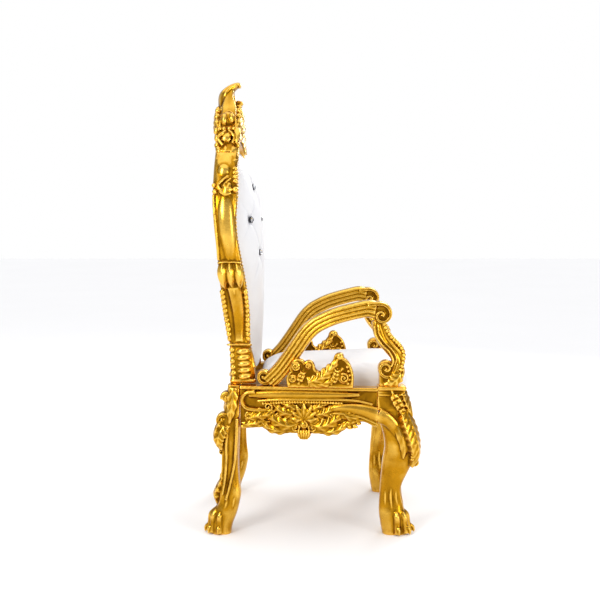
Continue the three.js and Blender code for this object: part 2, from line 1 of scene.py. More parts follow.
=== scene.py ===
import bpy
import bmesh
import math
import numpy as np
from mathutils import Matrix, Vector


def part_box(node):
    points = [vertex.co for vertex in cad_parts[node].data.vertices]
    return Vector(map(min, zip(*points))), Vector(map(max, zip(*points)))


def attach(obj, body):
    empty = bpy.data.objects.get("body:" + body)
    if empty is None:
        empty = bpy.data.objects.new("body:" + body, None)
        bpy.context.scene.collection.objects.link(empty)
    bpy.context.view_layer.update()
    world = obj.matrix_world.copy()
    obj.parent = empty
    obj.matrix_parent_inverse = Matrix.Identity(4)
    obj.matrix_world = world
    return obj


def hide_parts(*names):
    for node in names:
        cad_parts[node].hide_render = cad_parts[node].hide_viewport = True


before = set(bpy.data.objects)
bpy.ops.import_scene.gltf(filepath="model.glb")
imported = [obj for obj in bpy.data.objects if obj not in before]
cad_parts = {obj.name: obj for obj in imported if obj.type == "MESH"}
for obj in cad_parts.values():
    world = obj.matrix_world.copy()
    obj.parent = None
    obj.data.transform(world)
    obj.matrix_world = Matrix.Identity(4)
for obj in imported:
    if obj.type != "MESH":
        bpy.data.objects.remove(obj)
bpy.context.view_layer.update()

# Carving is worked out in millimetres on the joiner's datum, where the rails' top is at 600 and the
# rear end of the side rails at -234.65. datum carries it to the frame.
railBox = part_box("side_rail_right")
datum = np.array([railBox[0].x * 1000 + 234.65, 0.0, railBox[1].z * 1000 - 600.0])
sole = -datum[2]
railTop = 600.0
crownJoint = 1505.0
gap = 0.35
tau = 2 * math.pi


# forms

def vec(*values):
    return np.array(values, float)


def unit(v):
    return v / max(np.linalg.norm(v), 1e-9)


def mix(a, b, t):
    return a + (b - a) * t


def ramp(low, high, value):
    t = np.clip((np.asarray(value, float) - low) / (high - low), 0, 1)
    return t * t * (3 - 2 * t)


def merged(*shapes):
    flat = []

    def gather(item):
        if isinstance(item, tuple) and len(item) == 2 and isinstance(item[0], np.ndarray):
            flat.append(item)
        else:
            for inner in item:
                gather(inner)

    gather(shapes)
    verts, faces, start = [], [], 0
    for points, loops in flat:
        verts.append(points)
        faces += [[start + i for i in loop] for loop in loops]
        start += len(points)
    return np.vstack(verts), faces


# Skins rings of equal count and closes both ends.
def loft(rings):
    rings = np.asarray(rings, float)
    m, n = rings.shape[:2]
    verts = np.vstack([rings.reshape(-1, 3), rings[0].mean(0), rings[-1].mean(0)])
    j = np.arange(n)
    k = (j + 1) % n
    i = np.arange(m - 1)[:, None] * n
    quads = np.stack([i + j, i + k, i + n + k, i + n + j], -1).reshape(-1, 4)
    last = (m - 1) * n
    faces = quads.tolist()
    faces += np.stack([np.full(n, m * n), k, j], 1).tolist()
    faces += np.stack([np.full(n, m * n + 1), last + j, last + k], 1).tolist()
    return verts, faces


# Evenly spaced places along a smooth curve through the points.
def curveThrough(points, count):
    p = np.asarray(points, float)
    p = np.vstack([2 * p[0] - p[1], p, 2 * p[-1] - p[-2]])
    u = np.linspace(0, 1, 25)[:-1, None]
    fine = []
    for a, b, c, d in zip(p, p[1:], p[2:], p[3:]):
        k, l, m = [max(np.linalg.norm(q - r), 1e-6) ** 0.5 for q, r in ((b, a), (c, b), (d, c))]
        start = ((b - a) / k - (c - a) / (k + l) + (c - b) / l) * l
        end = ((c - b) / l - (d - b) / (l + m) + (d - c) / m) * l
        fine.append((2 * u**3 - 3 * u**2 + 1) * b + (u**3 - 2 * u**2 + u) * start
                    + (3 * u**2 - 2 * u**3) * c + (u**3 - u**2) * end)
    fine = np.vstack(fine + [p[-2:-1]])
    along = np.concatenate([[0], np.cumsum(np.linalg.norm(np.diff(fine, axis=0), axis=1))])
    at = np.linspace(0, along[-1], count + 1)
    return np.stack([np.interp(at, along, fine[:, k]) for k in range(3)], 1)


# Directions at each place: along the curve, across it and out of it.
def frameAlong(place, across):
    heading = np.gradient(place, axis=0)
    heading /= np.maximum(np.linalg.norm(heading, axis=1), 1e-9)[:, None]
    side = across - (heading @ across)[:, None] * heading
    side /= np.maximum(np.linalg.norm(side, axis=1), 1e-9)[:, None]
    return heading, side, np.cross(heading, side)


# Rings of [out, side] pairs set out at each place.
def skinned(place, flat, out, side):
    return loft(place[:, None] + flat[..., :1] * out[:, None] + flat[..., 1:] * side[:, None])


def sweep(points, steps, outline, across=(0, 1, 0)):
    place = curveThrough(points, steps)
    _, side, out = frameAlong(place, vec(*across))
    return skinned(place, np.array([outline(t) for t in np.linspace(0, 1, steps + 1)]), out, side)


def around(sides, start=0.5):
    return (np.arange(sides) + start) / sides * tau


def rounded(halfOut, halfAcross, sides, power=2.0):
    angle = around(sides)
    c, s = np.cos(angle), np.sin(angle)
    bend = 2 / power
    return np.stack([halfOut * np.sign(c) * np.abs(c) ** bend,
                     halfAcross * np.sign(s) * np.abs(s) ** bend], 1)


# A sweep's section, which goes from one size to another where it is given a pair.
def section(out, across, sides, power=2.0):
    out, across = [size if isinstance(size, tuple) else (size, size) for size in (out, across)]
    return lambda t: rounded(mix(*out, t), mix(*across, t), sides, power)


def tube(points, steps, radius, endRadius=None, across=(0, 1, 0)):
    size = (radius, radius if endRadius is None else endRadius)
    return sweep(points, steps, section(size, size, 12), across)


# A value that follows rows of [key, value, ...] smoothly.
def follow(rows, key, column=1):
    rows = np.asarray(rows, float)
    key = np.clip(key, rows[0, 0], rows[-1, 0])
    last = len(rows) - 1
    i = np.clip(np.searchsorted(rows[:, 0], key, side="right") - 1, 0, last - 1)
    t = (key - rows[i, 0]) / (rows[i + 1, 0] - rows[i, 0])
    p, q, r, s = [rows[np.clip(i + k, 0, last), column] for k in (-1, 0, 1, 2)]
    return q + 0.5 * t * (r - p + t * (2 * p - 5 * q + 4 * r - s + t * (3 * (q - r) + s - p)))


def ball(centre, radius, stretch=(1, 1, 1), rings=8, sides=12):
    lat = np.linspace(-math.pi / 2, math.pi / 2, rings + 1)[:, None]
    lon = around(sides, 0)[None]
    wide = np.maximum(np.cos(lat), 0.02)
    grid = np.stack([wide * np.cos(lon), wide * np.sin(lon), np.sin(lat) + 0 * lon], -1)
    return loft(vec(*centre) + radius * vec(*stretch) * grid)


def spiral(centre, startRadius, endRadius, startDegrees, turns, power, way):
    count = round(abs(turns) * 14)
    share = np.arange(count + 1) / count
    radius = endRadius + (startRadius - endRadius) * (1 - share) ** power
    angle = np.radians(startDegrees) + way * tau * turns * share
    c = vec(*centre)
    return np.stack([c[0] + radius * np.cos(angle), c[1] + 0 * angle, c[2] + radius * np.sin(angle)], 1)


def disc(centre, radius, halfWidth, sides=28):
    angle = around(sides, 0)
    ring = np.stack([radius * np.cos(angle), 0 * angle, radius * np.sin(angle)], 1)
    c = vec(*centre)
    return loft([c + ring * k + vec(0, y, 0) for k, y in
                 ((0.86, -halfWidth), (1, -halfWidth + 3), (1, halfWidth - 3), (0.86, halfWidth))])


# A carved acanthus leaf along a curve: scalloped edge, raised rib, and veins that lean to the tip.
def leaf(points, face, width, height, depth=9, lobes=3, fine=15, notch=0.14, vein=0.15):
    steps = max(10, lobes * 8)
    place = curveThrough(points, steps)
    face = vec(*face)
    _, side, out = frameAlong(place, unit(np.cross(face, place[-1] - place[0])))
    t = np.linspace(0, 1, steps + 1)[:, None]
    s = np.linspace(-1, 1, fine)[None]
    fullness = np.sin(math.pi * (0.17 + 0.81 * t**0.85)) ** 0.75
    half = width * fullness * (1 + notch * np.cos(tau * lobes * t)) + 0.6
    phase = tau * lobes * (t + 0.14 * (1 - np.abs(s)))
    body = height * (0.35 + 0.65 * np.sin(math.pi * (0.12 + 0.8 * t))) * (1 - 0.72 * s**2)
    veins = vein * height * np.cos(phase) * np.sin(math.pi * np.abs(s)) ** 0.6
    rib = 0.2 * height * np.exp(-((s / 0.14) ** 2))
    rise = body + (veins + rib) * fullness
    top = np.stack([rise, half * s], -1)
    under = np.stack([np.full((steps + 1, 5), -depth), half * np.linspace(0.8, -0.8, 5)[None]], -1)
    return skinned(place, np.concatenate([top, under], 1), out, side)


frondSize = {"stem": 4.5, "lean": math.radians(52), "height": 7, "depth": 7}


# A stem with leaflets leaning out to both sides.
def frond(points, face, count, reach, width):
    stem = frondSize["stem"]
    face = vec(*face)
    place = curveThrough(points, count + 1)
    heading, _, _ = frameAlong(place, unit(np.cross(face, place[-1] - place[0])))
    made = [tube(points, 8 * count, stem, stem / 2, np.cross(face, unit(place[-1] - place[0])))]

    def turnedBy(direction, angle):
        return direction * math.cos(angle) + np.cross(face, direction) * math.sin(angle)

    for i in range(1, count + 1):
        size = math.sin(math.pi * (0.2 + 0.7 * i / (count + 1)))
        for way in (-1, 1):
            lean = frondSize["lean"] * way
            aim, hook = turnedBy(heading[i], lean), turnedBy(heading[i], lean * 0.4)
            root = place[i]
            made.append(leaf([root, root + aim * reach * size * 0.55 + face * 3,
                              root + (aim * 0.7 + hook * 0.3) * reach * size + face], face,
                             width * size, frondSize["height"], frondSize["depth"], 2, 9))
    return made


# A band's section: reeds down each side under a crowned top.
def reeded(half, halfWidth, crown, reeds):
    share = np.linspace(0, 1, reeds * 5 + 1)
    ridge = np.abs(np.sin(math.pi * reeds * share)) ** 0.7
    shoulder = np.sqrt(np.maximum(0, 1 - np.abs(2 * share - 1) ** 5))
    out = -half + (2 * half + crown) * share
    wide = halfWidth * (0.84 + 0.16 * ridge) * (0.5 + 0.5 * shoulder)
    side = np.stack([out, wide], 1)
    return np.vstack([side, (side * vec(1, -1))[::-1]])


# Directions on a face that looks along aim: out of it, along it and up it.
def facing(aim):
    out = unit(vec(*aim))
    along = unit(vec(1, 0, 0) - out[0] * out)
    up = np.cross(out, along)
    return out, along, up if up[2] > 0 else -up


# A low dome crossed by raised diagonal lines.
def hatchedBoss(centre, aim, radius):
    out, along, up = facing(aim)

    def at(u, v, lift):
        return vec(*centre) + along * radius * u + up * radius * v + out * lift

    rings = [[at(math.cos(l) * math.cos(a), math.cos(l) * math.sin(a), radius * 0.5 * math.sin(l))
              for a in around(24, 0)] for l in np.linspace(0, math.pi / 2, 7)]
    made = [loft([np.array(rings[0]) - out * 14, *rings])]
    for way in (-1, 1):
        for off in (-0.3, -0.1, 0.1, 0.3):
            line = []
            for s in np.linspace(-0.92, 0.92, 9):
                u, v = (s + way * off) * 0.7071, (way * s - off) * 0.7071
                line.append(at(u, v, radius * 0.5 * math.sqrt(max(0.02, 1 - u * u - v * v)) + 1))
            made.append(tube(line, 16, 2.2))
    return made


def coil(centre, radii, degrees, turns, power, thickness, halfWidth, reeds=2, way=-1, start=None):
    path = spiral(centre, radii[0], radii[1], degrees, turns, power, way)
    if start is not None:
        path = np.vstack([start, path])
    return sweep(path, round(34 * turns), lambda t: reeded(mix(*thickness, t), halfWidth, 0, reeds))


# A small scroll in low relief.
def curl(centre, radius, degrees, turns=1.4, thickness=(4, 2.5), halfWidth=8, way=-1, end=3):
    return coil(centre, (radius, end), degrees, turns, 1.2, thickness, halfWidth, 1, way)


# nodes

color, number, vector = "NodeSocketColor", "NodeSocketFloat", "NodeSocketVector"
whole, solid, coating = "NodeSocketInt", "NodeSocketGeometry", "NodeSocketMaterial"


# Gives a node's inputs their values, or a link where the value is another node's socket.
def fill(tree, node, inputs):
    for label, value in inputs.items():
        if isinstance(value, bpy.types.NodeSocket):
            tree.links.new(value, node.inputs[label])
        else:
            node.inputs[label].default_value = value


def add(tree, kind, inputs=None, **fields):
    node = tree.nodes.new(kind)
    for label, value in fields.items():
        setattr(node, label, value)
    fill(tree, node, inputs or {})
    return node.outputs


def newGroup(name, kind, inputs, outputs):
    tree = bpy.data.node_groups.new(name, kind)
    for label, socketKind, value in inputs:
        socket = tree.interface.new_socket(label, in_out="INPUT", socket_type=socketKind)
        if value is not None:
            socket.default_value = value
    for label, socketKind in outputs:
        tree.interface.new_socket(label, in_out="OUTPUT", socket_type=socketKind)
    return tree, add(tree, "NodeGroupInput")


def noise(tree, where, scale, detail=4.0, rough=0.55):
    return add(tree, "ShaderNodeTexNoise",
               {"Scale": scale, "Detail": detail, "Roughness": rough, "Vector": where})["Fac"]


def remap(tree, value, low, high, newLow, newHigh):
    return add(tree, "ShaderNodeMapRange", {
        "From Min": low, "From Max": high, "To Min": newLow, "To Max": newHigh, "Value": value})["Result"]


def arithmetic(tree, how, a, b):
    return add(tree, "ShaderNodeMath", {0: a, 1: b}, operation=how)[0]


def blendColor(tree, factor, a, b):
    return add(tree, "ShaderNodeMix", {"Factor": factor, 6: a, 7: b}, data_type="RGBA")[2]


def formGroup(name, inputs):
    return newGroup(name, "GeometryNodeTree", [("Geometry", solid, None), *inputs, ("Material", coating, None)],
                    [("Geometry", solid)])


def finishForm(tree, source, shape):
    real = add(tree, "GeometryNodeRealizeInstances", {"Geometry": shape})[0]
    painted = add(tree, "GeometryNodeSetMaterial", {"Geometry": real, "Material": source["Material"]})[0]
    add(tree, "NodeGroupOutput", {"Geometry": painted})
    return tree


def beadTree():
    tree, source = formGroup("beadsOnPath", [
        ("Count", whole, 10), ("Radius", number, 5.0), ("Stretch", vector, (1, 1, 1)), ("Taper", number, 0.0)])
    path = add(tree, "GeometryNodeMeshToCurve", {0: source["Geometry"]})[0]
    spread = add(tree, "GeometryNodeResampleCurve", {"Curve": path, "Count": source["Count"]})[0]
    sphere = add(tree, "GeometryNodeMeshUVSphere", {"Segments": 12, "Rings": 8, "Radius": source["Radius"]})[0]
    tangent = add(tree, "GeometryNodeInputTangent")[0]
    turn = add(tree, "FunctionNodeAlignEulerToVector", {"Vector": tangent}, axis="X")[0]
    along = add(tree, "GeometryNodeSplineParameter")["Factor"]
    rest = arithmetic(tree, "SUBTRACT", 1.0, arithmetic(tree, "MULTIPLY", along, source["Taper"]))
    size = add(tree, "ShaderNodeVectorMath", {0: source["Stretch"], "Scale": rest}, operation="SCALE")[0]
    return finishForm(tree, source, add(tree, "GeometryNodeInstanceOnPoints", {
        "Points": spread, "Instance": sphere, "Rotation": turn, "Scale": size})[0])


def weltTree():
    tree, source = formGroup("weltAlongSeam", [("Radius", number, 0.004), ("Step", number, 0.004)])
    path = add(tree, "GeometryNodeMeshToCurve", {0: source["Geometry"]})[0]
    spread = add(tree, "GeometryNodeResampleCurve", {"Curve": path, "Length": source["Step"]}, mode="LENGTH")[0]
    circle = add(tree, "GeometryNodeCurvePrimitiveCircle", {"Resolution": 10, "Radius": source["Radius"]})["Curve"]
    skin = add(tree, "GeometryNodeCurveToMesh", {"Fill Caps": True, "Curve": spread, "Profile Curve": circle})[0]
    return finishForm(tree, source, add(tree, "GeometryNodeSetShadeSmooth", {"Geometry": skin})[0])


def gemTree():
    tree, source = formGroup("cutStone", [
        ("Radius", number, 0.012), ("Facets", whole, 8), ("Crown", number, 0.006), ("Pavilion", number, 0.006)])
    narrow = arithmetic(tree, "MULTIPLY", source["Radius"], 0.55)
    crown, pavilion = [add(tree, "GeometryNodeMeshCone", {
        "Vertices": source["Facets"], "Radius Top": top, "Radius Bottom": bottom, "Depth": source[label]},
        fill_type="NGON")["Mesh"] for label, top, bottom in (
            ("Crown", narrow, source["Radius"]), ("Pavilion", source["Radius"], narrow))]
    down = add(tree, "ShaderNodeCombineXYZ", {"Z": arithmetic(tree, "MULTIPLY", source["Pavilion"], -1.0)})[0]
    join = tree.nodes.new("GeometryNodeJoinGeometry")
    for part in (crown, add(tree, "GeometryNodeTransform", {"Geometry": pavilion, "Translation": down})[0]):
        tree.links.new(part, join.inputs[0])
    return finishForm(tree, source, add(tree, "GeometryNodeMergeByDistance", {
        "Distance": 1e-5, "Geometry": join.outputs[0]})[0])


# objects

def inFrame(verts):
    return (verts + datum) / 1000


def linked(name, data):
    made = bpy.data.objects.new(name, data)
    bpy.context.scene.collection.objects.link(made)
    return made


def places(mesh):
    flat = np.empty(len(mesh.vertices) * 3)
    mesh.vertices.foreach_get("co", flat)
    return flat.reshape(-1, 3)


# The mesh that a node group makes of a path of points.
def grown(tree, points, settings, closed=False):
    count = len(points)
    edges = [(i, i + 1) for i in range(count - 1)] + ([(count - 1, 0)] if closed else [])
    seed = bpy.data.meshes.new("seed")
    seed.from_pydata(np.asarray(points).tolist(), edges, [])
    holder = linked("seed", seed)
    work = holder.modifiers.new("grow", "NODES")
    work.node_group = tree
    for item in tree.interface.items_tree:
        if item.in_out == "INPUT" and item.name in settings:
            work[item.identifier] = settings[item.name]
    holder.update_tag()
    graph = bpy.context.evaluated_depsgraph_get()
    mesh = bpy.data.meshes.new_from_object(holder.evaluated_get(graph))
    holder.modifiers.clear()
    bpy.data.objects.remove(holder)
    bpy.data.meshes.remove(seed)
    return mesh


# A grown mesh's points and faces, with the mesh itself cleared away.
def grownShape(tree, points, settings):
    mesh = grown(tree, points, settings)
    shape = places(mesh), [list(face.vertices) for face in mesh.polygons]
    bpy.data.meshes.remove(mesh)
    return shape


beadsOnPath = beadTree()
weltAlongSeam = weltTree()
cutStone = gemTree()


def beads(points, count, radius, stretch=(1, 1, 1)):
    return grownShape(beadsOnPath, curveThrough(points, 60),
                      {"Count": count, "Radius": float(radius), "Stretch": stretch})


# materials

def lookGroup(name, inputs):
    return newGroup(name, "ShaderNodeTree", [("Position", vector, None), *inputs],
                    [("Base Color", color), ("Roughness", number), ("Height", number)])


def finishLook(tree, tone, rough, height):
    add(tree, "NodeGroupOutput", {"Base Color": tone, "Roughness": rough, "Height": height})
    return tree


# Burnished gold leaf with painted light: a painted highlight on the high points, painted shade deep in the hollows,
# which are also duller, and mottled between.
def giltGroup():
    tree, source = lookGroup("giltSurface", [
        ("Relief", number, 0.5), ("Leaf Tone", color, (0.9, 0.5, 0.05, 1)),
        ("Painted Highlight Tone", color, (1, 0.7, 0.2, 1)), ("Shade And Mottle Tone", color, (0.3, 0.12, 0.01, 1)),
        ("Mottle", number, 0.35)])
    where, relief = source["Position"], source["Relief"]
    cloud, fleck, brush = noise(tree, where, 22, 5), noise(tree, where, 240, 3), noise(tree, where, 90, 6, 0.6)
    hollow = remap(tree, relief, 0.5, 0.14, 0, 1)
    # Painted highlight: the tone is brightened on the high points that the relief marks.
    tone = blendColor(tree, remap(tree, relief, 0.56, 0.92, 0, 1), source["Leaf Tone"], source["Painted Highlight Tone"])
    patch = arithmetic(tree, "MULTIPLY", remap(tree, cloud, 0.45, 0.75, 0, 1), source["Mottle"])
    tone = blendColor(tree, patch, tone, source["Shade And Mottle Tone"])
    # Painted shade: the tone is darkened in the hollows that the relief marks.
    tone = blendColor(tree, arithmetic(tree, "MULTIPLY", hollow, 0.85), tone, source["Shade And Mottle Tone"])
    rough = arithmetic(tree, "ADD", remap(tree, brush, 0.3, 0.7, 0.17, 0.3),
                       arithmetic(tree, "MULTIPLY", hollow, 0.16))
    return finishLook(tree, tone, rough, arithmetic(tree, "ADD", brush, arithmetic(tree, "MULTIPLY", fleck, 0.35)))


# Leather: pebbled grain with fine creases and a slow drift of tone, and painted shade in its hollows.
def leatherGroup():
    tree, source = lookGroup("leatherGrain", [
        ("Tone", color, (0.8, 0.8, 0.8, 1)), ("Shade", color, (0.6, 0.6, 0.65, 1)),
        ("Relief", number, 0.5), ("Grain", number, 520.0)])
    where = source["Position"]
    cells = add(tree, "ShaderNodeTexVoronoi", {"Vector": where, "Scale": source["Grain"]},
                feature="SMOOTH_F1")["Distance"]
    drift, pore = noise(tree, where, 7, 3), noise(tree, where, 700, 3)
    # Painted shade: the colour is darkened toward the shade colour in the hollows of the tufting and its creases, as
    # the relief marks them.
    creaseShade = remap(tree, source["Relief"], 0.5, 0.1, 0, 0.75)
    tone = blendColor(tree, remap(tree, drift, 0.35, 0.7, 0, 0.22), source["Tone"], source["Shade"])
    rough = remap(tree, arithmetic(tree, "ADD", cells, pore), 0.4, 1.3, 0.36, 0.5)
    return finishLook(tree, blendColor(tree, creaseShade, tone, source["Shade"]), rough,
                      arithmetic(tree, "ADD", cells, arithmetic(tree, "MULTIPLY", pore, 0.4)))


def timberGroup():
    tree, source = lookGroup("timberGrain", [
        ("Early Wood", color, (0.45, 0.3, 0.16, 1)), ("Late Wood", color, (0.26, 0.15, 0.07, 1)),
        ("Stretch", vector, (2, 26, 26))])
    where = add(tree, "ShaderNodeVectorMath", {0: source["Position"], 1: source["Stretch"]}, operation="MULTIPLY")[0]
    grain, fibre = noise(tree, where, 3.0, 8, 0.65), noise(tree, where, 22.0, 4, 0.6)
    tone = blendColor(tree, remap(tree, grain, 0.38, 0.62, 0, 1), source["Early Wood"], source["Late Wood"])
    return finishLook(tree, tone, remap(tree, fibre, 0.3, 0.7, 0.5, 0.72), arithmetic(tree, "ADD", grain, fibre))


groups = {"gilt": giltGroup(), "leather": leatherGroup(), "timber": timberGroup()}


# A material whose colour, roughness and bump come from one of the groups, and the rest from plain values.
def surface(name, group, settings, shader, bump=None):
    material = bpy.data.materials.new(name)
    material.use_nodes = True
    tree = material.node_tree
    inputs = {"Position": add(tree, "ShaderNodeTexCoord")["Object"], **settings}
    if "Relief" in groups[group].interface.items_tree:
        inputs["Relief"] = add(tree, "ShaderNodeAttribute", attribute_name="relief")["Fac"]
    look = add(tree, "ShaderNodeGroup", inputs, node_tree=groups[group])
    shown = {"Base Color": look["Base Color"], "Roughness": look["Roughness"], **shader}
    if bump:
        shown["Normal"] = add(tree, "ShaderNodeBump", {
            "Strength": bump[0], "Distance": bump[1], "Height": look["Height"]})["Normal"]
    fill(tree, tree.nodes["Principled BSDF"], shown)
    return material


# The gilt's bright tone is a painted highlight on the high points. Its dark tone is painted shade in the hollows, and
# it also colours the random mottle.
gilt = surface("gilt_leaf", "gilt", {
    "Leaf Tone": (0.5, 0.232, 0.008, 1), "Painted Highlight Tone": (0.9, 0.54, 0.085, 1), "Shade And Mottle Tone": (0.11, 0.04, 0.001, 1),
    "Mottle": 0.25}, {"Metallic": 1.0, "IOR": 1.45}, (0.18, 0.0006))
# The leather's shade colour is painted shade in the hollows, and it also gives the slow drift of tone.
leather = surface("white_leather", "leather", {
    "Tone": (0.84, 0.84, 0.85, 1), "Shade": (0.62, 0.62, 0.67, 1), "Grain": 420.0},
    {"Metallic": 0.0, "IOR": 1.45, "Coat Weight": 0.12, "Coat Roughness": 0.3}, (0.25, 0.0004))
timber = surface("deck_timber", "timber", {
    "Early Wood": (0.46, 0.3, 0.15, 1), "Late Wood": (0.3, 0.17, 0.08, 1), "Stretch": (26, 2, 26)},
    {"Metallic": 0.0}, (0.3, 0.001))
crystal = surface("clear_crystal", "leather", {
    "Tone": (0.94, 0.95, 0.97, 1), "Shade": (0.86, 0.88, 0.92, 1), "Grain": 60.0},
    {"Metallic": 0.0, "Roughness": 0.02, "IOR": 1.62, "Transmission Weight": 1.0})
foil = surface("dark_foil", "leather", {
    "Tone": (0.16, 0.16, 0.18, 1), "Shade": (0.05, 0.05, 0.06, 1), "Grain": 200.0},
    {"Metallic": 1.0}, (0.1, 0.0003))
print("materials made")


# pieces

# Faces turned outward, for forms built straight from rings.
def outwardMesh(name, verts, faces):
    mesh = bpy.data.meshes.new(name)
    mesh.from_pydata(verts.tolist(), [], faces)
    form = bmesh.new()
    form.from_mesh(mesh)
    bmesh.ops.recalc_face_normals(form, faces=form.faces)
    form.to_mesh(mesh)
    form.free()
    return mesh


def makeObject(name, mesh, *materials):
    mesh.name = name
    mesh.materials.clear()
    for item in materials:
        mesh.materials.append(item)
    return linked(name, mesh)


def modify(made, kind, **fields):
    step = made.modifiers.new(kind.lower(), kind)
    for label, value in fields.items():
        setattr(step, label, value)
    return step


def evaluatedMesh(made):
    graph = bpy.context.evaluated_depsgraph_get()
    mesh = bpy.data.meshes.new_from_object(made.evaluated_get(graph))
    made.modifiers.clear()
    old = made.data
    made.data = mesh
    bpy.data.meshes.remove(old)
    return mesh


def smoothed(mesh):
    mesh.polygons.foreach_set("use_smooth", [True] * len(mesh.polygons))
    return mesh


# How far each point stands above or below its surroundings, kept as a share: hollows under a half. The gilt and leather
# looks paint shade into the hollows by it, and the gilt a painted highlight on the high points.
def markRelief(mesh, passes, scale):
    place = places(mesh)
    count = len(place)
    normal = np.empty(count * 3)
    mesh.vertices.foreach_get("normal", normal)
    ends = np.empty(len(mesh.edges) * 2, np.int64)
    mesh.edges.foreach_get("vertices", ends)
    a, b = ends.reshape(-1, 2).T
    degree = np.maximum(np.bincount(a, minlength=count) + np.bincount(b, minlength=count), 1)
    soft = place.copy()
    for _ in range(passes):
        near = np.stack([np.bincount(a, soft[b, k], count) + np.bincount(b, soft[a, k], count) for k in range(3)], 1)
        soft = 0.4 * soft + 0.6 * near / degree[:, None]
    lift = ((place - soft) * normal.reshape(-1, 3)).sum(1)
    layer = mesh.attributes.get("relief") or mesh.attributes.new("relief", "FLOAT", "POINT")
    layer.data.foreach_set("value", np.clip(0.5 + lift / scale, 0, 1).astype(np.float32))


def trimmed(mesh, height, way):
    form = bmesh.new()
    form.from_mesh(mesh)
    cut = bmesh.ops.bisect_plane(form, geom=form.verts[:] + form.edges[:] + form.faces[:], clear_outer=True,
                                 plane_co=tuple(inFrame(vec(0, 0, height))), plane_no=(0, 0, way))
    rim = [item for item in cut["geom_cut"] if isinstance(item, bmesh.types.BMEdge)]
    bmesh.ops.triangle_fill(form, edges=rim, use_beauty=True)
    form.to_mesh(mesh)
    form.free()


def seat(made, node):
    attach(made, "root")
    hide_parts(node)


# Fuses overlapping forms into one carved skin, of voxels given in millimetres, and thins it where it is
# flat. cut is a height and the way that is cut off.
def carved(name, shapes, node, voxel, keep=0.3, cut=None):
    verts, faces = merged(shapes)
    raw = bpy.data.meshes.new(name)
    raw.from_pydata(inFrame(verts).tolist(), [], faces)
    made = makeObject(name, raw, gilt)
    modify(made, "REMESH", mode="VOXEL", voxel_size=voxel / 1000, use_smooth_shade=True)
    modify(made, "SMOOTH", factor=0.45, iterations=1)
    modify(made, "DECIMATE", ratio=keep)
    mesh = evaluatedMesh(made)
    if cut:
        trimmed(mesh, *cut)
    markRelief(smoothed(mesh), 10, 0.0026)
    seat(made, node)
    print(name, len(mesh.polygons), "faces")
    return made


# The right-hand piece and its twin on the left.
def carvedPair(name, shapes, voxel):
    right = carved(name + "_right_carved", shapes, name + "_right", voxel)
    mesh = right.data.copy()
    mesh.name = name + "_left_carved"
    mesh.vertices.foreach_set("co", (places(mesh) * vec(1, -1, 1)).reshape(-1))
    mesh.flip_normals()
    mesh.update()
    seat(linked(mesh.name, mesh), name + "_left")


def pressed(shape, axis, low=-1e9, high=1e9, above=-1e9):
    verts, faces = merged(shape)
    held = verts[:, 2] > above
    verts[held, axis] = np.clip(verts[held, axis], low, high)
    return verts, faces


# Turns a form about the upright axis, then moves it along the floor.
def turned(shape, angle, right, ahead):
    verts, faces = merged(shape)
    c, s = math.cos(angle), math.sin(angle)
    x, y, z = verts.T
    return np.stack([x * c - y * s + right, x * s + y * c + ahead, z], 1), faces


# legs

# [height, rear edge, front edge, outer edge, inner edge].
frontLegSize = {
    "rows": [[0, 326, 420, -338, -262], [45, 318, 420, -340, -260], [95, 311, 414, -336, -264],
             [135, 311, 404, -330, -270], [165, 313, 397, -328, -274], [205, 315, 400, -330, -272],
             [260, 319, 424, -338, -268], [310, 323, 446, -350, -268], [362, 330, 458, -362, -270],
             [405, 326, 448, -360, -278], [460, 312, 428, -356, -290], [520, 302, 408, -354, -292]],
    "block": {"rear": 300.35, "front": 404, "outer": -355, "inner": -290.35, "low": 512, "top": 606},
    "inner": -290.35, "innerAbove": 424, "toeReach": 68, "ankleFlutes": 9}
rearLegSize = {
    "rows": [[0, -350, -272, -332, -254], [45, -350, -266, -334, -252], [95, -338, -248, -332, -252],
             [135, -322, -238, -328, -254], [175, -318, -232, -325, -256], [240, -306, -238, -318, -256],
             [310, -306, -240, -314, -252], [375, -318, -238, -312, -246], [430, -322, -236, -308, -240],
             [500, -298, -236, -303, -238], [599.6, -284, -236, -300, -238]],
    "front": -233.8, "frontAbove": 400, "toeReach": 58, "flutes": 7, "ankleFlutes": 7, "fluteBite": 0.07}


def legShaft(rows, levels, flutes=0, bite=0.0, low=0, high=0):
    loops = []
    angle = around(56)
    for z in np.linspace(sole, rows[-1][0], levels + 1):
        rear, front, outer, inner = [follow(rows, z, k) for k in (1, 2, 3, 4)]
        loop = rounded((front - rear) / 2, (outer - inner) / 2, 56, 2.6)
        if flutes:
            reach = ramp(low - 30, low + 20, z) * (1 - ramp(high - 30, high + 10, z))
            loop = loop * (1 - bite * reach * (0.5 + 0.5 * np.cos(flutes * angle + z * 0.006)))[:, None]
        loops.append(np.stack([(rear + front) / 2 + loop[:, 0], (outer + inner) / 2 - loop[:, 1], 0 * angle + z], 1))
    return loft(loops)


# Four toes with knuckles and claws, spread about the way the paw points.
def paw(heel, direction, reach):
    made = []
    girth = [[0, 9], [0.33, 17], [0.6, 12.5], [1, 16]]
    for spread in (-74, -38, 0, 38, 74):
        angle = direction + math.radians(spread)
        lean = vec(math.cos(angle), 0.66 * math.sin(angle), 0)
        across = (-math.sin(angle), math.cos(angle), 0)

        def at(r, z):
            return vec(*heel) + lean * r + vec(0, 0, z)

        toe = [at(reach * 0.4, 112), at(reach * 0.78, 78), at(reach * 0.9, 46), at(reach * 0.95, sole + 6)]
        made.append(sweep(toe, 24, lambda t: rounded(follow(girth, t), 12.5, 18), across))
        claw = [at(reach * 0.98, 44), at(reach * 1.2, 36), at(reach * 1.27, 22), at(reach * 1.26, sole + 3)]
        made.append(sweep(claw, 12, section((9, 3), (9, 2.5), 10), across))
        tuft = [at(reach * 0.28, 128), at(reach * 0.62, 104), at(reach * 0.8, 86)]
        made.append(sweep(tuft, 10, section((5, 2), (6, 2), 8), across))
    return made


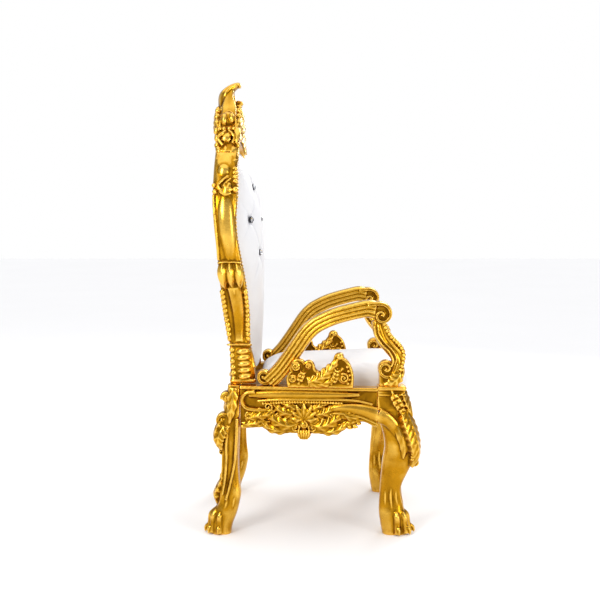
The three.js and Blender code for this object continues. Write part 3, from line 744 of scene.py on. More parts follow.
# Short upright flutes that ring the ankle on its front and outer sides.
def ankle(rows, low, high, count, forward):
    made = []
    for i in range(count):
        angle = math.pi * (i + 0.5) / count * 1.5 - math.pi * 0.75
        path = []
        for z in np.linspace(low, high, 5):
            rear, front, outer, inner = [follow(rows, z, k) for k in (1, 2, 3, 4)]
            wide = (front - rear) / 2 * 0.97
            path.append([(rear + front) / 2 + forward * wide * math.cos(angle),
                         (outer + inner) / 2 + (inner - outer) / 2 * 0.97 * math.sin(angle), z])
        made.append(sweep(path, 14, lambda t: rounded(*2 * [5.5 * math.sin(math.pi * (0.12 + 0.76 * t))], 10),
                          (0, 1, 0.1)))
    return made


def frontLeg():
    size = frontLegSize
    rear, front, outer, inner, low, top = size["block"].values()
    block = loft([[[rear, outer, z], [front, outer, z], [front, inner, z], [rear, inner, z]] for z in (low, top)])
    moulding = [sweep([[300.4, -354, z], [402, -354, z], [404, -352, z], [404, -291, z]], 24,
                      section(r, r, 10), (0, 0, 1)) for z, r in ((596, 8), (572, 5))]
    carving = [
        leaf([[404, -352, 512], [430, -360, 440], [446, -362, 380], [450, -352, 325], [434, -342, 286]],
             (0.75, -0.65, 0), 36, 14, 26, 9, 21, 0.05, 0.09),
        leaf([[404, -300, 512], [430, -296, 440], [446, -290, 380], [450, -292, 325], [434, -298, 286]],
             (0.8, 0.6, 0), 30, 12, 24, 8, 17, 0.05, 0.09),
        leaf([[408, -326, 520], [436, -326, 450], [454, -326, 390], [456, -322, 340], [440, -318, 300]],
             (1, 0, 0), 22, 9, 20, 6, 15, 0.05),
        sweep([[300.4, -352, 494], [332, -352, 480], [362, -352, 452], [384, -350, 412]], 40,
              section((30, 22), (17, 12), 24)),
        leaf([[376, -360, 450], [394, -366, 410], [404, -364, 366], [400, -352, 322]], (0, -1, 0),
             20, 8, 12, 3, 15, 0.06, 0.06),
        leaf([[396, -330, 598], [410, -335, 560], [424, -342, 520], [434, -344, 486]], (0.9, -0.4, 0.1),
             30, 9, 14, 5, 17),
        leaf([[396, -308, 598], [410, -306, 560], [424, -304, 520], [434, -304, 486]], (0.9, 0.4, 0.1),
             26, 8, 14, 5),
        frond([[352, -358, 590], [366, -360, 560], [384, -362, 530], [400, -364, 500]], (0.1, -1, 0), 4, 26, 9),
        curl((447, -330, 300), 15, 100, 1.2, (6, 4), 15),
        beads([[402, -366, 476], [424, -375, 425], [436, -376, 375], [434, -366, 322]], 15, 7, (0.9, 1, 1.2)),
        beads([[426, -352, 470], [448, -358, 410], [456, -352, 350], [444, -340, 300]], 15, 6),
    ]
    body = pressed([legShaft(size["rows"], 90), carving], 1, high=size["inner"], above=size["innerAbove"])
    feet = [paw((364, -300, 0), 0, size["toeReach"]), ankle(size["rows"], 118, 196, size["ankleFlutes"], 1)]
    return pressed([body, block, moulding, feet], 2, low=sole)


def rearLeg():
    size = rearLegSize
    carving = [
        coil((-286, -270, 550), (22, 4), 200, 1.3, 1.3, (8, 5), 27),
        disc((-286, -270, 550), 20, 24),
        coil((-302, -272, 455), (30, 5), 60, 1.3, 1.3, (9, 5), 28, 2, 1, start=[-280, -272, 505]),
        disc((-302, -272, 455), 26, 24),
        leaf([[-306, -278, 466], [-328, -278, 425], [-332, -278, 380], [-312, -280, 338]], (-1, 0, 0), 30, 9, 16, 5),
        leaf([[-296, -306, 440], [-312, -308, 410], [-318, -308, 378], [-306, -306, 344]], (-0.4, -1, 0), 24, 8, 12, 5),
        curl((-311, -280, 334), 11, 40, 1.1, (5, 3), 18, end=2),
        leaf([[-302, -288, 238], [-318, -288, 205], [-334, -288, 165], [-326, -288, 124]], (-1, 0, 0), 26, 9, 16, 4),
        leaf([[-262, -303, 590], [-264, -306, 540], [-270, -308, 492], [-276, -306, 450]], (0, -1, 0), 20, 8, 10, 4),
        [tube(path, steps, radius, radius - 2, (1, 0, 0)) for path, steps, radius in (
            ([[-246, -308, 470], [-250, -313, 380], [-256, -316, 300], [-272, -322, 220], [-290, -328, 150]], 40, 7),
            ([[-282, -306, 440], [-288, -313, 370], [-288, -316, 300], [-294, -322, 230], [-304, -328, 170]], 40, 6),
            ([[-302, -298, 330], [-304, -300, 280], [-308, -304, 230]], 20, 6))],
        ball((-324, -290, 190), 9), ball((-321, -290, 172), 8), ball((-316, -290, 206), 7),
    ]
    shaft = legShaft(size["rows"], 90, size["flutes"], size["fluteBite"], 200, 540)
    post = sweep([[-259, -269, 445], [-259, -269, 520], [-259, -269, 599.6]], 24,
                 lambda t: rounded(23.5 * ramp(-0.5, 0.35, t), 31 * ramp(-0.5, 0.35, t), 24, 7), (0, 1, 0))
    body = pressed([shaft, post, carving], 0, high=size["front"], above=size["frontAbove"])
    feet = [paw((-302, -293, 0), math.pi, size["toeReach"]), ankle(size["rows"], 112, 170, size["ankleFlutes"], -1)]
    return pressed([body, feet], 2, low=sole)


carvedPair("front_leg", frontLeg(), 2.2)
carvedPair("rear_leg", rearLeg(), 2.2)
print("legs carved")


# rails

outward = (0, -1, 0)
sideRailSize = {
    "back": -235, "front": 300, "rearHalf": 300, "frontHalf": 352, "board": 42, "low": 407, "fan": 0.47,
    "scallop": [[0, 430], [0.1, 434], [0.2, 437], [0.3, 422], [0.42, 414], [0.54, 415], [0.64, 418],
                [0.73, 432], [0.82, 456], [0.9, 466], [1, 444]]}
frontRailSize = {
    "half": 289.65, "top": 570, "low": 402, "face": 396, "rear": 354, "board": 42,
    "scallop": [[0, 432], [0.1, 452], [0.2, 450], [0.32, 424], [0.5, 408], [0.68, 424], [0.8, 450],
                [0.9, 452], [1, 432]]}


def boardOf(outline, near, far):
    outline = np.asarray(outline, float)
    front = np.stack([outline[:, 0], 0 * outline[:, 0] + near, outline[:, 1]], 1)
    back = front + vec(0, far - near, 0)
    n = len(front)
    faces = [list(range(n)), [2 * n - 1 - i for i in range(n)]]
    faces += [[i, n + i, n + (i + 1) % n, (i + 1) % n] for i in range(n)]
    return np.vstack([front, back]), faces


def apronBoard(length, edge, top, depth):
    s = np.linspace(0, 1, 90)
    low = np.stack([length * s, follow(edge, s)], 1)
    return boardOf([[0, top], *low.tolist(), [length, top]], 0, depth)


# Petals that fan out from one root, each ridged down its middle.
def fan(root, count, spread, reach, width):
    made = []
    for i in range(count):
        angle = math.radians(90 + mix(-spread, spread, i / (count - 1)))
        long = reach * (1 - 0.28 * abs(2 * i / (count - 1) - 1))

        def at(share, lift):
            return vec(*root) + vec(long * share * math.cos(angle), -lift, long * share * math.sin(angle))

        made += [leaf([at(0.05, 6), at(0.5, 12), at(0.85, 12), at(1, 6)], outward, width, 7, 16, 2, 11),
                 ball(at(0.98, 9), width * 0.42)]
    return made


# The carving of an apron: a fan over a pendant bud, scrolls and foliage sweeping to each side.
def apronCarving(centre, low, edge, length):
    made = [fan((centre, -2, low + 62), 7, 82, 72, 12), ball((centre, -7, low + 44), 19, (1, 0.7, 1)),
            curl((centre, -12, low + 44), 15, 90, thickness=(3.5, 2)),
            ball((centre, -6, low + 7), 25, (1.1, 0.62, 0.9), 10, 18)]
    for i in range(5):
        x = centre + (i - 2) * 10.5
        made.append(tube([[x, -16, low + 24], [x * 0.9 + centre * 0.1, -22, low + 8],
                          [x * 0.6 + centre * 0.4, -16, low - 12]], 12, 4.5, 3))
    for way in (-1, 1):
        def at(x, lift, z):
            return [centre + way * x, -lift, low + z]

        made += [
            [leaf([at(*spot) for spot in spots], outward, *form) for spots, form in (
                (((18, 3, 52), (62, 7, 40), (112, 6, 60), (152, 2, 104)), (27, 14, 9, 5, 19)),
                (((36, 3, 82), (84, 6, 94), (126, 3, 128)), (19, 12, 9, 4)),
                (((24, 3, 96), (54, 6, 116), (92, 4, 126)), (13, 10, 9, 3)),
                (((60, 2, 20), (104, 6, 20), (146, 5, 34), (176, 2, 66)), (17, 12, 9, 4)),
                (((134, 2, 104), (172, 6, 80), (206, 5, 78), (232, 2, 98)), (18, 11, 9, 4)))],
            frond([at(150, 2, 44), at(186, 3, 48), at(220, 2, 66)], outward, 3, 26, 9),
            curl(at(34, 9, 33), 17, 90 + way * 60, way=way),
            curl(at(176, 7, 96), 20, 90 - way * 80, 1.5, (4.5, 2.5), way=-way),
            ball(at(34, 12, 33), 5), ball(at(176, 12, 96), 6),
            curl(at(102, 8, 74), 13, 90, 1.3, (3.5, 2), way=-way),
        ]
    s = np.linspace(0.01, 0.99, 46)
    rim = follow(edge, s)
    clear = np.abs(length * s - centre) > 26
    for part in (s < centre / length, s > centre / length):
        pick = part & clear
        path = np.stack([length * s[pick], 0 * s[pick] - 3, rim[pick] + 8], 1)
        inner = path + vec(0, -1, 15)
        made += [sweep(path, 70, section(8, 9, 14)), tube(inner, 60, 3.4)]
    return made


def sideRail():
    size = sideRailSize
    run = size["front"] - size["back"]
    flare = size["frontHalf"] - size["rearHalf"]
    length = math.hypot(run, flare)
    made = [
        apronBoard(length, size["scallop"], railTop, size["board"]),
        sweep([[-2, -2, 593], [length + 2, -2, 593]], 4, section(8, 13, 14, 2.6)),
        sweep([[36, -2, 566], [140, -6, 568], [300, -7, 569], [length - 70, -5, 572]], 60,
              lambda t: rounded(mix(20, 13, t) * math.sin(math.pi * (0.08 + 0.84 * t)) ** 0.4, 10, 24)),
        tube([[70, -8, 541], [150, -11, 548], [300, -12, 551], [length - 90, -9, 550], [length - 20, -7, 536]], 60, 5),
        beads([[92, -9, 531], [180, -11, 538], [290, -11, 540], [398, -9, 538]], 30, 5.4, (1, 1, 1.05)),
        sweep([[130, -4, 508], [64, -6, 506], [22, -6, 516], [10, -6, 545], [24, -6, 570], [60, -5, 578]], 50,
              section(9, 12, 14)),
        curl((112, -9, 520), 18, -90, thickness=(5, 3), halfWidth=9, way=1),
        sweep([[length * 0.6, -4, 508], [length * 0.74, -7, 520], [length * 0.88, -7, 514], [length + 6, -5, 494]], 50,
              section((9, 30), (9, 15), 24)),
        tube([[length * 0.62, -7, 494], [length * 0.74, -12, 498], [length * 0.88, -12, 486],
              [length + 4, -10, 458]], 50, 4.5),
        apronCarving(length * size["fan"], size["low"], size["scallop"], length),
        leaf([[22, -4, 470], [66, -9, 482], [112, -8, 490], [150, -4, 512]], outward, 17, 11, 9, 4),
        leaf([[12, -4, 446], [54, -8, 452], [98, -6, 466]], outward, 13, 9, 9, 3),
        curl((34, -7, 484), 13, 90, 1.3, way=1),
    ]
    shape = turned(made, math.atan2(-flare, run), size["back"], -size["rearHalf"])
    return pressed(pressed(shape, 0, size["back"] + gap, size["front"] - gap), 2, high=railTop)


def frontRail():
    size = frontRailSize
    half = size["half"]
    length = 2 * half
    made = [
        apronBoard(length, size["scallop"], size["top"], size["board"]),
        sweep([[-2, -2, 561], [length + 2, -2, 561]], 4, section(9, 13, 14, 2.6)),
        sweep([[-2, -1, 546], [length + 2, -1, 546]], 4, section(4, 9, 12)),
        beads([[30, -6, 533], [length - 30, -6, 533]], 40, 5.4),
        tube([[20, -6, 520], [length - 20, -6, 520]], 20, 4),
        apronCarving(half, size["low"], size["scallop"], length),
        [frond([[half + way * 270, -3, 470], [half + way * 235, -5, 492], [half + way * 190, -5, 505]],
               outward, 5, 22, 8) for way in (-1, 1)],
    ]
    verts, faces = merged(made)
    verts = np.stack([size["face"] - verts[:, 1], verts[:, 0] - half, verts[:, 2]], 1)
    return pressed(pressed(pressed((verts, faces), 1, -half, half), 0, low=size["rear"]), 2, high=size["top"])


rearRailSize = {"half": 237.65, "top": 570, "low": 510, "rise": 30, "face": -238, "rear": -273, "board": 30}


def rearRail():
    half, top, low, rise, face, rear, board = rearRailSize.values()
    y = np.linspace(-half, half, 40)
    edge = low - rise * (2 * np.abs(y / half) ** 2 - 1)
    outline = [[-half, top], *np.stack([y, edge], 1).tolist(), [half, top]]
    verts, faces = merged(boardOf(outline, 0, board), tube([[-half, 31, 562], [half, 31, 562]], 8, 4),
                          sweep(np.stack([y, 0 * y + 31, edge + 7], 1), 60, section(4, 4, 10)))
    verts = np.stack([face - verts[:, 1], verts[:, 0], verts[:, 2]], 1)
    return pressed(pressed((verts, faces), 0, rear, face), 2, high=top)


carvedPair("side_rail", sideRail(), 2.0)
carved("front_rail_carved", frontRail(), "front_rail", 2.1)
carved("rear_rail_plain", rearRail(), "rear_rail", 3.0, 0.4)
print("rails carved")


# arms

# [along, height, half thickness].
armSize = {
    "rows": [[-120, 610, 18], [-77, 655, 20], [-41, 703, 24], [-1, 762, 28], [21, 794, 30], [38, 814, 30],
             [61, 834, 30], [85, 848, 30], [124, 866, 29], [157, 877, 29], [190, 886, 29], [227, 895, 29],
             [262, 901, 30], [292, 896, 31]],
    "support": [[298, 860, 22], [304, 828, 25], [318, 790, 25], [343, 756, 24], [367, 728, 24], [378, 700, 23],
                [373, 668, 20], [360, 642, 18]],
    "halfWidth": 31, "reeds": 4, "supportHalf": 27, "supportReeds": 3, "rearEnd": -166.65}


def armY(x):
    return -mix(276, 325, np.clip((np.asarray(x, float) + 150) / 450, 0, 1) ** 0.8)


def onArm(x, z, off=0.0):
    return np.array([x, float(armY(x)) + off, z], float)


def band(rows, steps, halfWidth, crown, reeds):
    path = [onArm(x, z) for x, z, _ in rows]
    place = curveThrough(path, steps)
    keys = [[x - z, half] for x, z, half in rows]
    widths = [follow(keys, x - z) for x, _, z in place]
    return sweep(path, steps, lambda t: reeded(widths[min(steps, round(t * steps))], halfWidth, crown, reeds))


def arm():
    size = armSize
    rear, front, low = onArm(-140, 636), onArm(313, 881), onArm(333, 673)
    edge = [[322, 846], [336, 818], [358, 789], [382, 766], [398, 738], [398, 704], [388, 670]]
    inner = [[284, 838], [292, 800], [314, 768], [344, 738], [358, 706], [352, 682]]
    made = [
        band(size["rows"], 110, size["halfWidth"], 6, size["reeds"]),
        band(size["support"], 60, size["supportHalf"], 4, size["supportReeds"]),
        coil(front, (44, 7), 96, 1.4, 1.5, (9, 5), 33, start=onArm(262, 922)),
        coil(low, (38, 6), -20, 1.4, 1.4, (9, 5), 29, start=onArm(380, 690)),
        coil(rear, (29, 6), -62, 1.4, 1.4, (9, 5), 29, start=onArm(-112, 618)),
        disc(rear, 25, 19), disc(front, 36, 22), disc(low, 32, 20),
        [ball(place, radius, (1, 3.1, 1)) for place, radius in ((rear, 8), (front, 10), (low, 9))],
        loft([[[306, -348, z], [368, -348, z], [368, -300, z], [306, -300, z]] for z in (606.4, 650)]),
        [leaf([onArm(388, 656, 24 * way), onArm(372, 634, 26 * way), onArm(350, 618, 26 * way),
               onArm(322, 612, 24 * way)], (0.1, way, 0), 22, 9, 14, 4) for way in (-1, 1)],
        leaf([onArm(392, 690), onArm(398, 664), onArm(392, 638), onArm(372, 616)], (1, 0, 0), 24, 8, 16, 4),
    ]
    for off in (-21, 0, 21):
        made.append(beads([onArm(x, z, off) for x, z in edge], 15, 8.5, (1, 1.25, 1)))
    for off in (-27, 27):
        made += [tube([onArm(x, z, off) for x, z in inner], 50, 4),
                 tube([onArm(x + 13, z + 6, off) for x, z in inner], 50, 2.6)]
    return pressed(pressed(made, 2, low=railTop + gap), 0, low=size["rearEnd"])


crestingSize = {"face": -350, "depth": 28, "turn": -5}


def bezier(*points):
    p = np.array(points, float)[:, None]
    t = np.linspace(0, 1, 13)[1:, None]
    while len(p) > 1:
        p = p[:-1] * (1 - t) + p[1:] * t
    return p[0]


def crestingOutline():
    runs = [((-16, 600.4), (-28, 625), (-24, 650), (-8, 662)), ((-8, 662), (-14, 700), (10, 716), (26, 708)),
            ((26, 708), (40, 704), (44, 692)), ((44, 692), (56, 712), (80, 704), (82, 676)),
            ((82, 676), (96, 648), (120, 664)), ((120, 664), (156, 690), (166, 712)),
            ((166, 712), (168, 742), (200, 742), (200, 716)), ((200, 716), (230, 700), (246, 650), (234, 600.4))]
    return np.vstack([[[-16, 600.4]]] + [bezier(*run) for run in runs])


def sideCresting():
    face, depth = crestingSize["face"], crestingSize["depth"]
    outline = crestingOutline()
    rim = outline[1:-1] + (vec(110, 640) - outline[1:-1]) * 0.05
    made = [boardOf(outline, face, face + depth)]
    made += [sweep(np.stack([rim[:, 0], 0 * rim[:, 0] + out, rim[:, 1]], 1), 150, section(5, 5, 10))
             for out in (face + 1, face + depth - 1)]
    for y, way in ((face, -1), (face + depth, 1)):
        out = (0, way, 0)
        made += [ball((x, y + way * 2, z), r, (1, 0.5, 1)) for x, z, r in
                 ((14, 682, 20), (4, 634, 17), (62, 684, 14), (184, 722, 13), (200, 640, 24))]
        made += [
            leaf([[60, y, 622], [104, y + way * 2, 634], [150, y + way * 2, 676], [180, y, 716]], out,
                 22, 10, 9, 6, 17),
            leaf([[70, y, 612], [116, y, 616], [160, y, 636], [196, y, 676]], out, 15, 8, 9, 5),
            curl((14, y + way * 6, 682), 15, 0, 1.5),
            curl((62, y + way * 5, 684), 11, 0, thickness=(3.4, 2), halfWidth=7, way=1, end=2.5),
            curl((200, y + way * 9, 640), 19, 120, 1.6, (4.5, 2.5)),
            curl((4, y + way * 5, 634), 13, 180, thickness=(3.6, 2), way=1),
            frond([[24, y, 612], [34, y, 640], [44, y, 666]], out, 3, 20, 7),
            frond([[150, y, 612], [166, y, 640], [176, y, 676]], out, 4, 20, 7),
            [ball((216 + 5 * math.sin(i), y + way * 3, 618 + 16 * i), 6) for i in range(5)],
        ]
    return pressed(turned(made, math.radians(crestingSize["turn"]), 0, 8), 2, low=railTop + gap)


carvedPair("arm", arm(), 2.0)
carvedPair("side_cresting", sideCresting(), 1.8)
print("arms carved")


# back

# [height, half width of the frame, middle of its depth, its depth].
backSize = {
    "rows": [[600, 276, -224, 104], [650, 272, -226, 98], [700, 266, -230, 92], [760, 254, -240, 78],
             [820, 250, -244, 82], [880, 256, -250, 90], [940, 268, -255, 92], [1000, 288, -264, 98],
             [1060, 308, -271, 92], [1140, 326, -279, 82], [1220, 335, -288, 78], [1300, 330, -289, 88],
             [1370, 312, -288, 94], [1440, 282, -288, 90], [1500, 240, -284, 92], [1550, 186, -283, 98],
             [1585, 120, -284, 100], [1600, 0, -284, 100]],
    "bar": 62, "coveLow": 1060, "coveHigh": 1380, "coveDepth": 0.1}


def backHalf(z):
    return follow(backSize["rows"], z, 1)


def backX(z):
    return follow(backSize["rows"], z, 2)


def backDepth(z):
    return follow(backSize["rows"], z, 3)


# The frame's bar from the right foot over the crown to the left, hollowed along its outer face.
def hoop(low, high):
    bar, coveLow, coveHigh, coveDepth = [backSize[key] for key in ("bar", "coveLow", "coveHigh", "coveDepth")]
    rise = []
    for z, half, x, _ in backSize["rows"]:
        tilt = min(1, max(0, (z - 1500) / 100))
        rise.append([x, -max(0, half - bar / 2 * (1 - tilt)), z - bar / 2 * tilt])
    path = rise + [[x, -y, z] for x, y, z in rise[-2::-1]]
    place = curveThrough(path, 300)
    _, side, out = frameAlong(place, vec(1, 0, 0))
    rings = []
    angle = around(48)
    for i, z in enumerate(place[:, 2]):
        flat = rounded(bar / 2, backDepth(z) / 2, 48, 3.2)
        cove = ramp(coveLow, coveLow + 50, z) * (1 - ramp(coveHigh - 45, coveHigh, z))
        hollow = 1 - coveDepth * cove * np.exp(-((np.sin(angle) / 0.55) ** 2)) * (np.abs(np.cos(angle)) > 0.2)
        flat = flat * np.stack([hollow, 1 + 0 * hollow], 1)
        rings.append(place[i] + flat[:, :1] * out[i] + flat[:, 1:] * side[i])
    rings = np.array(rings)
    keep = (place[:, 2] > low - 20) & (place[:, 2] < high + 20)
    index = np.flatnonzero(keep)
    runs = np.split(index, np.flatnonzero(np.diff(index) > 1) + 1)
    return [loft(rings[run]) for run in runs]


def stileCarving(side):
    aside = (0, side, 0)

    def at(z, out, forward):
        return [backX(z) + forward, side * (backHalf(z) + out), z]

    return [
        beads([at(630, -7, 10), at(728, -7, 12)], 5, 19, (0.82, 1, 1.5)),
        beads([at(622, -8, -36), at(734, -8, -32)], 6, 13, (0.95, 1, 0.9)),
        [tube([at(z, -24, -46), at(z + 4, 0, -44), at(z + 5, 2, 0), at(z + 4, 0, 44), at(z, -24, 46)], 30, r,
              across=(0, 0, 1)) for z, r in ((610, 6), (750, 4))],
        ball(at(1422, -12, -4), 27, (1, 0.75, 1.4), 12, 20),
        sweep([at(1506, -30, -2), at(1480, -20, -2), at(1448, -20, -2), at(1412, -27, -2)], 40,
              section(27, 41, 28), (1, 0, 0)),
        tube([at(1412, 2, 12), at(1396, 9, -8), at(1376, 10, -24), at(1358, 9, -14), at(1350, 6, 4)], 40, 5),
        tube([at(1404, 4, 24), at(1388, 9, 6), at(1374, 9, -6)], 24, 3.6),
        ball(at(1360, -2, 40), 12), ball(at(1352, -2, -38), 10), ball(at(1376, -4, -42), 9),
        beads([at(1392, -2, 40), at(1440, -6, 38)], 4, 9, (1, 1, 1.2)),
        leaf([at(1330, -8, 4), at(1350, 4, 4), at(1386, 6, 20)], aside, 22, 9, 14, 3),
        [leaf([at(*row) for row in rows], aside, 15, 8, 12, 2) for rows in (
            ((1452, -6, -22), (1476, -6, -24), (1500, -12, -20)), ((1446, -6, 26), (1474, -6, 24), (1498, -12, 18)))],
        tube([at(1076, -20, -44), at(1081, 1, -40), at(1083, 3, 0), at(1081, 1, 40), at(1076, -20, 42)], 30, 3.2,
             across=(0, 0, 1)),
        [leaf([at(1078, -6, 0.88 * f), at(1040, 10, 1.04 * f), at(1002, 8, f), at(976, -3, 0.9 * f)], aside,
              18, 15, 14, 1, 13, 0.0, 0.0) for f in (-31, 0, 30)],
        leaf([at(1004, 2, 4), at(968, 9, 4), at(926, 0, 4)], aside, 20, 9, 14, 1, 15, 0.05, 0.0),
        sweep([at(768, -5, 2), at(840, -2, 6), at(900, 1, 8), at(985, 2, 6)], 60,
              section((11, 15), (17, 27), 20), (1, 0, 0)),
        [beads([at(776, -11, low), at(880, -9, middle), at(962, -5, high)], 11, 12, (1.1, 0.8, 0.9))
         for low, middle, high in ((-35, -43, -45), (36, 43, 45))],
        sweep([at(1350, -14, 4), at(1285, -9, 4), at(1200, -9, 7), at(1090, -13, 6)], 60,
              lambda t: rounded(16, mix(27, 24, t) + 5 * math.sin(math.pi * t), 24), (1, 0, 0)),
        tube([at(z, -5, -0.46 * backDepth(z)) for z in range(1090, 1345, 25)], 60, 5,
             across=(1, 0, 0)),
    ]


def backFrame():
    cross = loft([[[x, y, z] for x, z in ((-262, 605), (-212, 605), (-212, 650), (-262, 650))] for y in (-230, 230)])
    front = []
    for side in (-1, 1):
        z = np.linspace(665, 1490, 40)
        face = backX(z) + backDepth(z) / 2
        path = np.stack([face - 1, side * (backHalf(z) - 31), z], 1)
        front += [beads(path[::4], 56, 7), tube(path + vec(-2, side * 18, 0), 140, 4),
                  tube(path + vec(-2, -side * 17, 0), 140, 4)]
    body = [hoop(railTop, crownJoint), cross, stileCarving(-1), stileCarving(1), front]
    return pressed(body, 2, low=railTop + gap)


def crestRail():
    ahead = (1, 0, 0)
    made = [hoop(crownJoint, 1700)]
    for i in range(7):
        angle = math.radians(mix(-72, 72, i / 6))
        reach = 118 - 26 * abs(i / 3 - 1)

        def at(share, forward):
            return vec(-292 + forward, reach * share * math.sin(angle), 1590 + reach * share * math.cos(angle))

        made += [leaf([at(0.1, 40), at(0.5, 54), at(0.82, 50), at(1, 30)], ahead, 18, 8, 26, 3, 13),
                 leaf([at(0.1, -40), at(0.5, -50), at(0.82, -44), at(1, -26)], (-1, 0, 0), 18, 8, 26, 3, 13),
                 ball(at(0.98, 22), 11), ball(at(0.98, -22), 10)]
    frondRows = [[0, 35, 40], [0.36, 30, 46], [0.6, 19, 42], [0.8, 13, 34], [0.92, 9, 26], [1, 5, 18]]
    top = [[-296, 0, 1696], [-300, 0, 1738], [-284, 0, 1767], [-264, 0, 1782], [-250, 0, 1787], [-246, 0, 1774]]

    def lobed(t):
        flat = rounded(follow(frondRows, t, 1), follow(frondRows, t, 2), 40)
        return flat * (1 + 0.05 * np.cos(9 * around(40)))[:, None]

    def horn(t):
        return rounded(mix(20, 13, t), 43 - 14 * float(ramp(0.2, 0.7, t)) - 18 * float(ramp(0.7, 1, t)), 28, 2.4)

    made += [
        sweep([[-286, 0, 1560], [-290, 0, 1640], [-292, 0, 1700], [-294, 0, 1742]], 50,
              section((96, 34), (48, 32), 40, 2.3), ahead),
        sweep(top, 60, lobed),
        leaf([[-262, 0, 1640], [-248, 0, 1690], [-240, 0, 1722]], ahead, 30, 9, 14, 4, 15),
        ball((-240, 0, 1712), 9, (1, 1.6, 1)),
        leaf([[-250, 0, 1604], [-236, 0, 1560], [-228, 0, 1522], [-221, 0, 1494]], ahead, 56, 9, 4, 6, 21),
        ball((-240, 0, 1576), 20, (0.6, 1, 1)),
        beads([[-234, 24 * math.cos(a), 1576 + 24 * math.sin(a)] for a in np.linspace(0, tau * 0.96, 12)], 16, 4.5),
        tube([[-330, 0, 1560], [-338, 0, 1640], [-326, 0, 1700]], 40, 9),
        beads([[-336, 0, 1560], [-344, 0, 1610], [-342, 0, 1650], [-332, 0, 1690]], 8, 12, (1, 1.5, 1)),
    ]
    for side in (-1, 1):
        def on(y, z, forward=0):
            return [-286 + forward, side * y, z]

        made += [
            sweep([on(196, 1530), on(170, 1584), on(124, 1616), on(88, 1648), on(64, 1690), on(40, 1734),
                   on(26, 1762, 8)], 90, horn, ahead),
            ball(on(128, 1632, 1), 46, (0.86, 0.66, 0.8), 14, 24),
            [leaf([on(50, 1600, way * 38), on(110, 1624, way * 44), on(180, 1588, way * 36)], (way, 0, 0),
                  26, 13, 18, 5, 17) for way in (1, -1)],
            leaf([on(212, 1530, 40), on(168, 1562, 44), on(112, 1560, 44), on(66, 1576, 42)], ahead, 22, 10, 12, 5, 17),
            hatchedBoss(on(203, 1563, -2), (0, side * 0.94, 0.34), 22),
            tube([on(196, 1590, -6), on(210, 1580, -16), on(214, 1563, -33), on(220, 1546, -26), on(226, 1532, -14)],
                 40, 5.5),
            tube([on(196, 1592, 6), on(208, 1580, 20), on(214, 1562, 29), on(222, 1542, 22)], 40, 4.5),
            leaf([on(180, 1604, 34), on(206, 1576, 42), on(222, 1540, 36)], (0, side, 0.3), 12, 9, 12, 1, 11, 0.0, 0.0),
            [ball(on(186, 1598, f), 9, (0.9, 0.9, 1)) for f in (-30, -12, 8, 26)],
            ball(on(150, 1634, -13), 30, (0.44, 0.62, 0.9), 14, 22),
            ball(on(146, 1640, 16), 27, (0.4, 0.62, 0.9), 14, 22),
            tube([on(168, 1608, -30), on(160, 1620, -30), on(150, 1640, -26), on(132, 1660, -14), on(120, 1672, 2)],
                 40, 4.5),
            tube([on(168, 1606, 34), on(158, 1622, 33), on(146, 1644, 29), on(128, 1664, 17), on(118, 1674, 4)],
                 40, 4.5),
            [leaf([on(196, 1534, 0.7 * f), on(228, 1516, f), on(236, 1488, 0.5 * f)], (0, side * 0.9, 0.4),
                  12, 9, 12, 1, 11, 0.0, 0.0) for f in (-32, -4, 26)],
        ]
        for y, z, r in ((212, 1532, 11), (194, 1560, 12), (174, 1590, 12), (148, 1620, 13), (122, 1648, 13),
                        (102, 1674, 11)):
            back = -38 - 5 * float(ramp(1550, 1600, z))
            made += [ball(on(y, z, back), r, (1, 1, 1.2)), ball(on(y - 3, z + 2, 42), 0.85 * r, (1, 1, 1.3))]
    return made


carved("back_frame_carved", backFrame(), "back_frame", 2.6, cut=(crownJoint - gap, 1))
carved("crest_rail_carved", crestRail(), "crest_rail", 2.3, cut=(crownJoint, -1))
print("back carved")


# upholstery

# front is [height, how far forward the pad stands]; rows are the buttons' heights.
padSize = {
    "front": [[640, -172], [680, -162], [760, -157], [860, -152], [1000, -149], [1120, -149], [1240, -155],
              [1340, -168], [1420, -188], [1480, -222], [1530, -258]],
    "low": 631, "high": 1528, "pitch": 95, "rows": [1372, 1243, 1110], "buttonSink": 12, "crease": 10}
padSize["step"] = (padSize["rows"][0] - padSize["rows"][2]) / 2


def padHalf(z):
    close = np.maximum(0, (z - 1440) / (padSize["high"] - 1440))
    return (backHalf(z) - backSize["bar"] - 4) * np.sqrt(np.maximum(0.02, 1 - close**2))


def padFace(y, z):
    share = np.minimum(1, np.abs(y) / padHalf(z))
    return mix(backX(z) + 14, follow(padSize["front"], z), (1 - share**2.6) ** 0.55)


buttonPlaces = [(column * padSize["pitch"], z) for row, z in enumerate(padSize["rows"])
                for column in ((-2, 0, 2) if row % 2 else (-1, 1))]


# Depth of the tufting: pleats on the diagonals between buttons, and a sink at each.
def tufting(y, z):
    column, row = y / padSize["pitch"], (z - padSize["rows"][1]) / padSize["step"]
    a, b = (column + row) / 2, (column - row) / 2
    pleat = np.minimum(np.abs(np.sin(math.pi * a)), np.abs(np.sin(math.pi * b)))
    puff = 1 - np.exp(-pleat / 0.22)
    zone = ramp(960, 1080, z) * (1 - ramp(1400, 1470, z))
    depth = padSize["crease"] * (1 - puff) * zone
    for by, bz in buttonPlaces:
        away = np.hypot(y - by, z - bz)
        depth = depth + padSize["buttonSink"] * np.exp(-((away / 21) ** 2)) + 5 * np.exp(-((away / 46) ** 2))
    return depth


